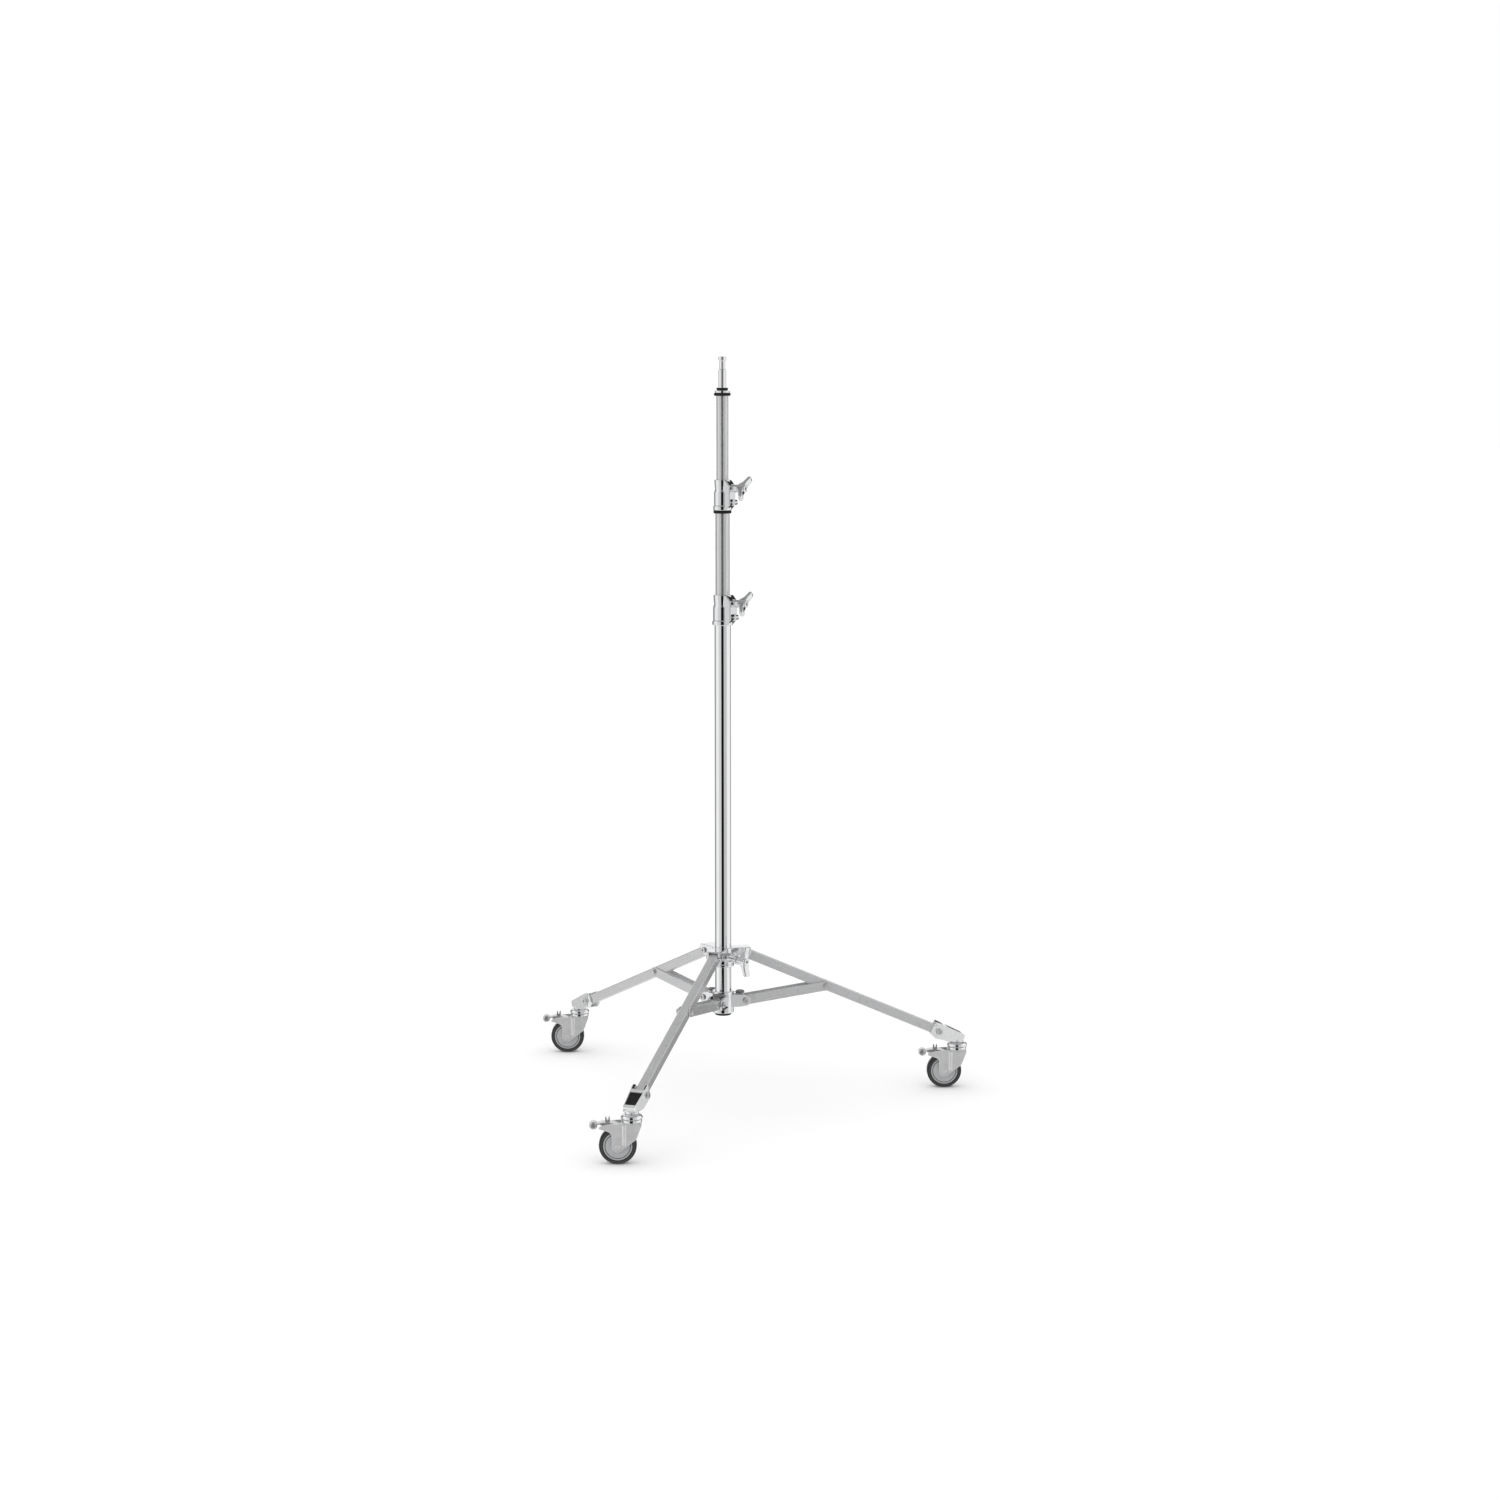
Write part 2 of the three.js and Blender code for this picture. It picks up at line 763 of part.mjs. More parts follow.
// Domed bearing housing with the stem that enters the bracket, open below for the kingpin.
function swivelHeadGeometry() {
  const skirtTop = headBottom + swivelHead.skirtHeight;
  const shoulder = headBottom + swivelHead.shoulderRise;
  const pocket = fork.kingpinRadius + gap;
  const pocketTop = headBottom + fork.kingpinHeight;
  return turned(
    [
      [0, pocketTop],
      [pocket, pocketTop],
      [pocket, headBottom],
      [swivelHead.radius, headBottom],
      [swivelHead.radius, skirtTop],
      [swivelHead.shoulderRadius, shoulder],
      [swivelHead.crownRadius, headTop],
      [swivelHead.stemRadius, headTop],
      [swivelHead.stemRadius, headTop + swivelHead.stemHeight],
      [0, headTop + swivelHead.stemHeight],
    ],
    headSides,
  );
}

// Side plate of the fork: leg down to the axle eye, and an arm reaching back over the wheel.
function forkPlateShape() {
  const shape = new THREE.Shape();
  const axleX = -wheel.trail;
  const armZ = crownTop - fork.armTipDrop;
  shape.moveTo(fork.crownFront, crownTop);
  shape.lineTo(fork.crownFront, crownBottom);
  shape.lineTo(fork.shinReach, axleHeight + fork.shinRise);
  shape.absarc(axleX, axleHeight, fork.eyeRadius, -Math.PI / 4, -Math.PI, true);
  shape.lineTo(axleX - fork.eyeRadius, axleHeight + fork.calfRise);
  shape.absarc(-fork.armReach, armZ, fork.armTipRadius, -Math.PI / 2, (-3 * Math.PI) / 2, true);
  shape.quadraticCurveTo(-fork.armRootDepth * 2, crownTop, -fork.armRootDepth, crownTop);
  shape.closePath();
  return shape;
}

function forkGeometry() {
  const crown = block(
    [-fork.crownBack, -forkOuterHalf, crownBottom],
    [fork.crownFront, forkOuterHalf, crownTop],
  );
  const plates = [-1, 1].map((side) => {
    const inner = side * fork.halfGap;
    const outer = side * forkOuterHalf;
    return slab(forkPlateShape(), Math.min(inner, outer), Math.max(inner, outer));
  });
  const kingpin = rodUp(fork.kingpinRadius, crownTop - gap, headBottom + fork.kingpinHeight - gap);
  const bores = [
    rodAcross(axle.radius + gap, -wheel.trail, axleHeight, forkOuterHalf + overrun),
    rodAcross(
      pedal.trunnionRadius + gap,
      -pedal.pivotReach,
      crownBottom - pedal.pivotDrop,
      forkOuterHalf + overrun,
    ),
  ];
  return geometryOf(cut(join(crown, ...plates, kingpin), ...bores));
}

function tyreGeometry() {
  const r = wheel.radius;
  const half = tyre.halfWidth;
  return turnedAcross(
    [
      [tyreInnerRadius, -half],
      [r - tyre.shoulder, -half],
      [r, -tyre.treadHalfWidth],
      [r, tyre.treadHalfWidth],
      [r - tyre.shoulder, half],
      [tyreInnerRadius, half],
      [tyreInnerRadius, -half],
    ],
    wheelSides,
  );
}

function wheelCoreGeometry() {
  const hubHalf = fork.halfGap - gap;
  const bore = axle.radius + gap;
  const groove = wheelCore.discRadius + wheelCore.grooveWidth;
  const rim = tyreInnerRadius - gap;
  const floor = wheelCore.rimHalfWidth - wheelCore.grooveDepth;
  const upperSide = [
    [rim, wheelCore.rimHalfWidth],
    [groove, wheelCore.rimHalfWidth],
    [groove, floor],
    [wheelCore.discRadius, floor],
    [wheelCore.discRadius, wheelCore.discHalfWidth],
    [bore, hubHalf],
  ];
  const lowerSide = upperSide.map(([r, h]) => [r, -h]).reverse();
  return turnedAcross([...lowerSide, ...upperSide, lowerSide[0]], coreSides);
}

// Brake pedal: a curved lever between the fork's arms, with a round foot knob and a release tab.
function pedalGeometry() {
  const pivotZ = crownBottom - pedal.pivotDrop;
  const reach = pedal.knobReach - pedal.pivotReach;
  const half = pedal.thickness / 2;
  const middle = pedalCurveShares.map(([along, up]) => [
    -pedal.pivotReach - along * reach,
    pivotZ + up * pedal.pivotDrop,
  ]);
  const upper = middle.map(([x, z]) => [x, z + half]);
  const lower = middle.map(([x, z]) => [x, z - half]).reverse();
  const lever = slab(outline([...upper, ...lower]), -pedal.halfWidth, pedal.halfWidth);
  const trunnion = rodAcross(
    pedal.trunnionRadius,
    -pedal.pivotReach,
    pivotZ,
    forkOuterHalf - gap,
  );
  const knobZ = pivotZ - pedal.knobDrop;
  const foot = rodAcross(pedal.knobRadius, -pedal.knobReach, knobZ, pedal.knobHalfWidth, headSides);
  const tabFront = -pedal.tabReach + pedal.tabLength / 2;
  const tabBack = tabFront - pedal.tabLength;
  const notchFront = -pedal.tabReach + pedal.tabNotch / 2;
  const tabTop = pivotZ + pedal.tabHeight;
  const tab = block(
    [tabBack, -pedal.tabHalfWidth, pivotZ - half],
    [tabFront, pedal.tabHalfWidth, tabTop],
  );
  const notch = block(
    [notchFront - pedal.tabNotch, -pedal.tabHalfWidth - overrun, tabTop - pedal.tabNotchDepth],
    [notchFront, pedal.tabHalfWidth + overrun, tabTop + overrun],
  );
  return geometryOf(cut(join(lever, trunnion, foot, tab), notch));
}

// Materials

function metal(colour, roughness) {
  return new THREE.MeshStandardMaterial({ color: colour, roughness, metalness: 1 });
}

function moulded(colour, roughness) {
  return new THREE.MeshStandardMaterial({ color: colour, roughness, metalness: 0 });
}

const chrome = metal(0xd9dadd, 0.08);
const satinSteel = metal(0xb6b7ba, 0.34);
const castAlloy = metal(0xd2d3d5, 0.22);
const platedSteel = metal(0xc2c3c6, 0.28);
const blackNylon = moulded(0x111214, 0.5);
const blackRubber = moulded(0x18191b, 0.65);
const tyreRubber = moulded(0x303133, 0.62);
const greyNylon = moulded(0xa9abae, 0.45);

// Assembly

const stand = new THREE.Group();

function place(parent, name, geometry, material) {
  const mesh = new THREE.Mesh(geometry, material);
  mesh.name = name;
  parent.add(mesh);
  return mesh;
}

function groupAt(parent, x, z, turnAboutZ = 0, tiltAboutY = 0) {
  const group = new THREE.Group();
  group.position.set(x, 0, z);
  group.rotation.set(0, tiltAboutY, turnAboutZ, "ZYX");
  parent.add(group);
  return group;
}

function addTopSection() {
  const bumperBore = riserTwo.radius + gap;
  place(stand, "spigot", spigotGeometry(), chrome);
  place(
    stand,
    "spigot_washer",
    ring(
      spigot.shankRadius + gap,
      spigotWasher.radius,
      washerBottom,
      washerBottom + spigotWasher.height,
      spigotWasher.bevel,
    ),
    blackNylon,
  );
  place(stand, "top_ferrule", ferruleGeometry(), chrome);
  place(
    stand,
    "top_bumper",
    ring(
      bumperBore,
      topBumper.radius,
      topBumperBottom,
      topBumperBottom + topBumper.height,
      topBumper.bevel,
    ),
    blackRubber,
  );
  place(stand, "riser_2_tube", tubeGeometry(riserTwo, riserTwoBottom, riserTwoTop), satinSteel);
  place(stand, "riser_2_glide", glideGeometry(riserTwo, riserOne, riserTwoBottom), greyNylon);
}

function addClamp(number, outerTube, innerTube, bottom) {
  const turn = radians(clampKnobAzimuth);
  const frame = groupAt(stand, 0, 0, turn);
  const collarSolid = clampCollarGeometry(outerTube, innerTube, bottom);
  place(frame, `clamp_${number}_collar`, collarSolid, castAlloy);
  const start = outerTube.radius + collar.earReach + collar.bossLength + gap;
  const knobFrame = groupAt(frame, start, bottom + collar.knobRise);
  knobFrame.rotation.x = -radians(clampKnobTilt);
  const screwLength = start - innerTube.radius - gap;
  place(knobFrame, `clamp_${number}_knob`, wingKnobGeometry(screwLength), castAlloy);
}

function addColumn() {
  place(stand, "riser_1_tube", tubeGeometry(riserOne, riserOneBottom, riserOneTop), satinSteel);
  place(stand, "riser_1_glide", glideGeometry(riserOne, column, riserOneBottom), greyNylon);
  const bumperBore = riserOne.radius + gap;
  place(
    stand,
    "clamp_2_bumper",
    ring(
      bumperBore,
      bumperBore + clampBumper.wall,
      clampBumperBottom,
      clampBumperBottom + clampBumper.height,
    ),
    blackRubber,
  );
  place(stand, "column_tube", tubeGeometry(column, columnBottom, columnTop), chrome);
  place(stand, "column_foot_plug", footPlugGeometry(), blackNylon);
}

function addBaseCollars() {
  place(stand, "base_slider", sliderGeometry(), castAlloy);
  place(stand, "base_spider", spiderGeometry(), castAlloy);
  const turn = radians(slider.knobAzimuth);
  const bossEnd = column.radius + gap + slider.sleeveWall + slider.bossReach;
  const start = bossEnd + gap;
  const frame = groupAt(stand, 0, 0, turn);
  const knobFrame = groupAt(frame, start, upperPivotHeight - slider.knobDrop);
  const screwLength = start - column.radius - gap;
  place(knobFrame, "base_knob", wingKnobGeometry(screwLength), castAlloy);
}

function addLeg({ name, azimuth }) {
  const frame = groupAt(stand, 0, 0, radians(azimuth));
  const slope = radians(linkage.legSlope);
  const upper = groupAt(frame, linkage.upperPivotRadius, upperPivotHeight, 0, slope);
  place(upper, `${name}_leg`, legGeometry(), satinSteel);
  const cheekHalf = slotHalf + slider.lugWall;
  const upperPin = pinGeometry(cheekHalf, pin.radius, pin.headRadius, pin.headHeight);
  place(upper, `${name}_upper_pivot_pin`, upperPin, platedSteel);

  const run = linkage.midPivotRadius - linkage.lowerPivotRadius;
  const climb = Math.atan2(midPivotHeight - lowerPivotHeight, run);
  const lower = groupAt(frame, linkage.lowerPivotRadius, lowerPivotHeight, 0, -climb);
  place(lower, `${name}_brace`, braceGeometry(), satinSteel);
  const spiderHalf = braceOuterHalf + gap + spider.cheekThickness;
  const lowerPin = pinGeometry(spiderHalf, pin.radius, pin.headRadius, pin.headHeight);
  place(lower, `${name}_lower_pivot_pin`, lowerPin, platedSteel);
  const middle = groupAt(frame, linkage.midPivotRadius, midPivotHeight, 0, -climb);
  place(middle, `${name}_mid_bolt`, midFastenerGeometry(1, pinSides), platedSteel);
  place(middle, `${name}_mid_nut`, midFastenerGeometry(-1, pinSides / 2), platedSteel);

  place(frame, `${name}_caster_bracket`, bracketGeometry(), castAlloy);
  const boltFrame = groupAt(frame, bracketPivotRadius, bracketPivotHeight);
  const bolt = pinGeometry(
    bracket.innerHalfWidth,
    pin.radius,
    pin.headRadius,
    pin.headHeight,
  );
  place(boltFrame, `${name}_bracket_bolt`, bolt, platedSteel);

  const caster = groupAt(frame, swivelRadius, 0, radians(trailAzimuth - 180 - azimuth));
  place(caster, `${name}_swivel_head`, swivelHeadGeometry(), chrome);
  place(caster, `${name}_fork`, forkGeometry(), platedSteel);
  place(caster, `${name}_brake_pedal`, pedalGeometry(), platedSteel);
  const wheelFrame = groupAt(caster, -wheel.trail, axleHeight);
  place(wheelFrame, `${name}_tyre`, tyreGeometry(), tyreRubber);
  place(wheelFrame, `${name}_wheel_core`, wheelCoreGeometry(), greyNylon);
  const axleSolid = pinGeometry(
    forkOuterHalf,
    axle.radius,
    axle.headRadius,
    axle.headHeight,
  );
  place(wheelFrame, `${name}_axle`, axleSolid, platedSteel);
}

addTopSection();
addClamp(2, riserOne, riserTwo, collarTwoBottom);
addColumn();
addClamp(1, column, riserOne, collarOneBottom);
addBaseCollars();
legs.forEach(addLeg);

// The origin goes under the middle of the bounding box, on the floor.
stand.updateMatrixWorld(true);
const middle = new THREE.Box3().setFromObject(stand, true).getCenter(new THREE.Vector3());
stand.position.set(-middle.x, -middle.y, 0);

export default stand;
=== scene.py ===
"""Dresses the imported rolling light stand: tubes, clamps, folding base and casters, with their finishes."""

import cmath
import json
import math

import bpy
from bpy.props import FloatProperty, FloatVectorProperty, PointerProperty
from bpy.types import Operator, Panel, PropertyGroup
from mathutils import Matrix, Vector


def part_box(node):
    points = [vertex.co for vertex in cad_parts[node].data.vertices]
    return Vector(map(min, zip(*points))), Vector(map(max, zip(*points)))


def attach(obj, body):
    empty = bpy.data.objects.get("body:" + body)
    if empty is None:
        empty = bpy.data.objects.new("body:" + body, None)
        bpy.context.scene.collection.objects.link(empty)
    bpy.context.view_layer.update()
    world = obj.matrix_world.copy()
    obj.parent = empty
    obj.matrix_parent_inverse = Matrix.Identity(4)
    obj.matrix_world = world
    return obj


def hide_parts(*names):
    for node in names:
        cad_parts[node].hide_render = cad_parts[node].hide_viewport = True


bl_info = {
    "name": "Rolling Light Stand",
    "version": (1, 0, 0),
    "blender": (4, 5, 0),
    "location": "View3D > Sidebar > Light Stand",
    "description": "Models and finishes a rolling light stand around its packed construction",
    "category": "Add Mesh",
}

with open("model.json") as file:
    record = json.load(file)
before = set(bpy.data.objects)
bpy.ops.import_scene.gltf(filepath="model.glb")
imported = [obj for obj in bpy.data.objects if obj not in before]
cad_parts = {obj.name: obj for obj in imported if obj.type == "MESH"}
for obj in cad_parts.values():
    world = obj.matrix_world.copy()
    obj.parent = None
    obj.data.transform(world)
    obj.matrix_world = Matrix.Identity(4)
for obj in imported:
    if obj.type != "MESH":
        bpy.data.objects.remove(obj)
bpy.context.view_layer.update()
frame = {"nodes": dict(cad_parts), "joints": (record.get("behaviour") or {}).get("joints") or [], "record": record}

MM = 0.001
WELD = 0.002 * MM  # vertices closer than this are one vertex
ROUND_STEPS = 5  # steps in the round of an outline's corner
TURN_STEPS = 96  # steps round a turned piece
BEVEL_STEPS = 3  # steps across a bevelled edge
BEVEL_ANGLE = math.radians(40)  # only edges sharper than this are bevelled
SHARP_ANGLE = math.radians(32)  # edges sharper than this stay crisp
CUT_PAST = 4 * MM  # how far a cutter runs past what it cuts
FIT = 0.3 * MM  # clearance between pieces
TUBE_STEPS = 128  # steps round a tube or a sleeve on it
BOSS_STEPS = 64  # steps round a boss or a pad
ROD_STEPS = 48  # steps round a pin, a bolt or a hole
EDGE_SHARE = 0.49  # the most that a corner's round takes of the edges beside it

LEGS = ("front", "right", "left")
JOINTS = {joint["name"]: joint for joint in frame["joints"]}
BODY_OF = {
    node: body
    for body, nodes in frame["record"]["behaviour"]["bodies"].items()
    for node in nodes
}


# Places read from the frame


def centre(node):
    low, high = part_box(node)
    return (low + high) / 2


def radius_of(node):
    low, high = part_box(node)
    return (high.x - low.x) / 2


def pivot(joint):
    return Vector(JOINTS[joint]["pos_m"])


def flat(point):
    return Vector((point.x, point.y, 0.0))


def azimuth(direction):
    return math.atan2(direction.y, direction.x)


COLUMN_AXIS = flat(centre("column_tube"))
UPPER_HEIGHT = pivot("front_leg_fold").z
LOWER_HEIGHT = pivot("front_brace_fold").z
BRACKET_HEIGHT = pivot("front_bracket_tilt").z
AXLE_HEIGHT = pivot("front_wheel_roll").z


def reach(point):
    """Distance of a point from the column's axis."""
    return (flat(point) - COLUMN_AXIS).length


UPPER_REACH = reach(pivot("front_leg_fold"))
LOWER_REACH = reach(pivot("front_brace_fold"))
BRACKET_REACH = reach(pivot("front_bracket_tilt"))
SWIVEL_REACH = reach(pivot("front_swivel"))


def azimuth_of(joint):
    """Direction of a joint seen from the column."""
    return azimuth(flat(pivot(joint)) - COLUMN_AXIS)


def leg_azimuth(leg):
    return azimuth_of(f"{leg}_swivel")


def toward(leg):
    """A turn about the Z axis from X to the direction of a leg."""
    return Matrix.Rotation(leg_azimuth(leg), 4, "Z")


def from_swivel(joint):
    """Level distance of one of the front caster's joints from its swivel axis."""
    return (flat(pivot(joint)) - flat(pivot("front_swivel"))).length


def on_column(turn=0.0, height=0.0):
    """A place on the column's axis, turned about it."""
    return Matrix.Translation(COLUMN_AXIS + Vector((0, 0, height))) @ Matrix.Rotation(turn, 4, "Z")


def on_leg(leg, out=0.0, height=0.0, dip=0.0):
    """A place out along a leg, dipped from level."""
    along = Matrix.Translation((out, 0, height)) @ Matrix.Rotation(dip, 4, "Y")
    return on_column(leg_azimuth(leg)) @ along


def on_caster(leg):
    """The swivel axis at floor level, with X pointing away from the wheel."""
    swivel = flat(pivot(f"{leg}_swivel"))
    trail = flat(pivot(f"{leg}_wheel_roll")) - swivel
    return Matrix.Translation(swivel) @ Matrix.Rotation(azimuth(-trail), 4, "Z")


# Properties


def length(label, millimetres, about):
    return FloatProperty(
        name=label, description=about, default=millimetres * MM, min=0.0, precision=5, unit="LENGTH"
    )


def degrees(label, value, about):
    return FloatProperty(name=label, description=about, default=math.radians(value), subtype="ANGLE")


def number(label, value, about):
    return FloatProperty(name=label, description=about, default=value, min=0.0)


def colour(label, red, green, blue, about):
    tint = (red, green, blue, 1.0)
    return FloatVectorProperty(
        name=label, description=about, default=tint, size=4, subtype="COLOR", min=0.0, max=1.0
    )


class TubeSizes(PropertyGroup):
    """Sizes of the telescoping tubes."""

    wall: length("Wall", 1.8, "Wall of each tube")
    rim_round: length("Rim round", 0.5, "Round on the rims of each tube")


class TopSizes(PropertyGroup):
    """Sizes of the spigot and the rings under it."""

    spigot_radius: length("Spigot radius", 8, "Half the width of the spigot's body")
    neck_radius: length("Neck radius", 6.1, "Half the width of the spigot's waist")
    shank_radius: length("Shank radius", 8.6, "Half the width of the spigot inside the tube")
    body_length: length("Body length", 37, "Height of the spigot's body under the waist")
    neck_length: length("Neck length", 18.5, "Height of the spigot's waist")
    head_length: length("Head length", 8, "Height of the spigot's head")
    edge_round: length("Edge round", 1, "Round on the edges of the stack")
    washer_taper: length("Washer taper", 1.4, "How much narrower the washer is below")
    ferrule_skirt: length("Ferrule skirt", 6, "Depth of the ferrule inside the tube")
    bumper_edge: length("Bumper edge", 1.7, "How far the bumper's edge comes to a point")


class CollarSizes(PropertyGroup):
    """Sizes of the two clamp collars."""

    height: length("Height", 64, "Height of a collar")
    rim_wall: length("Rim wall", 4.2, "Wall at the upper rim")
    neck_wall: length("Neck wall", 3, "Wall at the narrowest place")
    body_wall: length("Body wall", 2.7, "Wall round the outer tube")
    lip_wall: length("Lip wall", 4.6, "Wall at the lower lip")
    lip_height: length("Lip height", 9, "Height of the lower lip")
    shoulder_height: length("Shoulder height", 38, "Height where the body turns in to the neck")
    neck_rise: length("Neck rise", 43, "Height where the neck is narrowest")
    rim_start: length("Rim start", 57, "Height where the upper rim begins")
    seat_height: length("Seat height", 36.3, "Height where the outer tube ends inside")
    corner_round: length("Corner round", 3, "Round on the collar's turned corners")
    ear_reach: length("Ear reach", 9, "How far the ear stands past the outer tube")
    ear_inset: length("Ear inset", 1, "How much narrower the ear is than the outer tube")
    ear_shoulder_drop: length("Ear shoulder drop", 13, "Height of the slope at the ear's top")
    ear_shoulder_depth: length("Ear shoulder depth", 10, "Depth of the slope at the ear's top")
    ear_heel_rise: length("Ear heel rise", 12, "Height of the slope at the ear's foot")
    ear_heel_depth: length("Ear heel depth", 9, "Depth of the slope at the ear's foot")
    ear_bevel: length("Ear bevel", 2.2, "Bevel on the ear's edges")
    groove_width: length("Groove width", 1.3, "Width of the groove between ear and sleeve")
    groove_depth: length("Groove depth", 2.2, "Depth of the groove between ear and sleeve")
    boss_radius: length("Boss radius", 8.8, "Half the width of the boss for the screw")
    boss_length: length("Boss length", 3.5, "Length of the boss for the screw")
    boss_taper: length("Boss taper", 0.8, "How much narrower the boss ends")
    eye_rise: length("Eye rise", 17, "Height of the ring-shaped eye on the ear")
    eye_radius: length("Eye radius", 6.8, "Half the width of the eye")
    eye_hole: length("Eye hole", 2.15, "Half the width of the hole in the eye")
    eye_half: length("Eye half width", 6, "Half the thickness of the eye")
    eye_proud: length("Eye proud", 2.4, "How far the eye's centre stands out of the ear's front")


class KnobSizes(PropertyGroup):
    """Sizes of the three wing knobs."""

    hub_radius: length("Hub radius", 8.6, "Half the width of the hub at its root")
    hub_taper: length("Hub taper", 0.8, "How much narrower the hub ends")
    hub_length: length("Hub length", 26.6, "Length of the hub")
    hub_round: length("Hub round", 3.2, "Round on the hub's end")
    socket_radius: length("Socket radius", 2.7, "Half the width of the hole in the hub's end")
    socket_depth: length("Socket depth", 6, "Depth of the hole in the hub's end")
    screw_radius: length("Screw radius", 3, "Half the width of the clamp screw")
    wing_reach: length("Wing reach", 29, "How far forward the wings come")
    wing_span: length("Wing span", 64, "Distance across both wings")
    wing_width: length("Wing width", 15, "Width of a wing at its root")
    tip_width: length("Tip width", 14, "Width of a wing at its tip")
    wing_bevel: length("Wing bevel", 3.1, "Bevel on the wings' edges")
    clamp_tilt: degrees("Clamp tilt", -50, "How far the wings of the two clamp knobs lean from upright")


class SliderSizes(PropertyGroup):
    """Sizes of the sliding collar that carries the legs."""

    bore: length("Bore", 17.8, "Half the width of the bore for the column")
    sleeve_wall: length("Sleeve wall", 4.6, "Wall of the sleeve")
    top_rise: length("Top rise", 12.8, "Height of the top above the legs' pivots")
    sleeve_drop: length("Sleeve drop", 28, "Depth of the sleeve below the legs' pivots")
    rim_height: length("Rim height", 5, "Height of the rim round the sleeve's foot")
    rim_wall: length("Rim wall", 1.2, "How far the rim stands out of the sleeve")
    rim_round: length("Rim round", 1.2, "Round on the sleeve's rims")
    lug_wall: length("Lug wall", 5, "Wall of a lug on each side of its leg")
    lug_reach: length("Lug reach", 12.5, "How far a lug reaches past its pivot")
    lug_drop: length("Lug drop", 11, "Depth of a lug below its pivot")
    lug_chamfer: length("Lug chamfer", 9, "Slope at a lug's lower corner")
    lug_round: length("Lug round", 3, "Round on a lug's corners, seen from the side")
    lug_bevel: length("Lug bevel", 1.6, "Bevel on a lug's edges")
    web: length("Web", 2.2, "Thickness of the top of a lug over its leg")
    boss_radius: length("Boss radius", 10.5, "Half the width of the boss for the knob")
    boss_reach: length("Boss reach", 30, "Length of the boss for the knob")
    boss_waist: length("Boss waist", 1.7, "How much narrower the boss is behind its end")
    boss_ring: length("Boss ring", 7, "Length of the boss's wide end")


class SpiderSizes(PropertyGroup):
    """Sizes of the fixed collar that carries the braces."""

    sleeve_wall: length("Sleeve wall", 5, "Wall of the sleeve")
    top_rise: length("Top rise", 20.5, "Height of the sleeve above the braces' pivots")
    bottom_drop: length("Bottom drop", 26, "Depth of the sleeve below the braces' pivots")
    cheek_wall: length("Cheek wall", 4.2, "Thickness of each cheek")
    cheek_gap: length("Cheek gap", 13.5, "Half the space between two cheeks")
    cheek_radius: length("Cheek radius", 11.5, "Round of a cheek about its pivot")
    cheek_rise: length("Cheek rise", 14, "Height of a cheek at the sleeve")
    cheek_drop: length("Cheek drop", 13, "Depth of a cheek beside the sleeve")
    cheek_bevel: length("Cheek bevel", 1, "Bevel on a cheek's edges")
    tongue_half: length("Tongue half width", 7, "Half the width of the tongue under a pad")
    tongue_foot: length("Tongue foot", 9.2, "Height of a tongue's underside above the braces' pivots")
    tongue_reach: length("Tongue reach", 43, "Distance of a tongue's end from the column's axis")
    pad_radius: length("Pad radius", 9.4, "Half the width of a rubber pad")
    pad_height: length("Pad height", 4.5, "Height of a rubber pad")
    pad_reach: length("Pad reach", 36.5, "Distance of a rubber pad from the column's axis")
    pad_rise: length("Pad rise", 15, "Height of a rubber pad's foot above the braces' pivots")
    rim_round: length("Rim round", 1.4, "Round on the sleeve's rims")


class LegSizes(PropertyGroup):
    """Sizes of the legs and braces."""

    tube: length("Tube", 20, "Width of the square tube of a leg")
    wall: length("Wall", 1.8, "Wall of the square tube")
    corner: length("Corner", 2.6, "Round on the square tube's edges")
    bar_height: length("Bar height", 20, "Height of a brace's bars")
    bar_wall: length("Bar wall", 2.9, "Thickness of a brace's bars")
    bar_bevel: length("Bar bevel", 0.7, "Bevel on a brace's bars")
    barrel: length("Barrel", 8, "Half the width of a brace's barrel")


class FastenerSizes(PropertyGroup):
    """Sizes of the pins, bolts and nuts."""

    shank: length("Shank", 4, "Half the width of a pivot pin")
    head: length("Head", 6.6, "Half the width of a pin's head")
    head_height: length("Head height", 3.4, "Height of a pin's head")
    socket: length("Socket", 3, "Half the width of the hexagon in a pin's head")
    socket_depth: length("Socket depth", 2, "Depth of the hexagon in a pin's head")
    edge_round: length("Edge round", 0.7, "Round on the edges of the heads")
    bolt_shank: length("Bolt shank", 3.6, "Half the width of the bolt through a brace")
    hexagon: length("Hexagon", 6.4, "Half the width across the corners of a hexagon head")
    hexagon_height: length("Hexagon height", 3.6, "Height of a hexagon head")
    washer: length("Washer", 7.6, "Half the width of the washer under a hexagon head")
    washer_height: length("Washer height", 1, "Thickness of that washer")


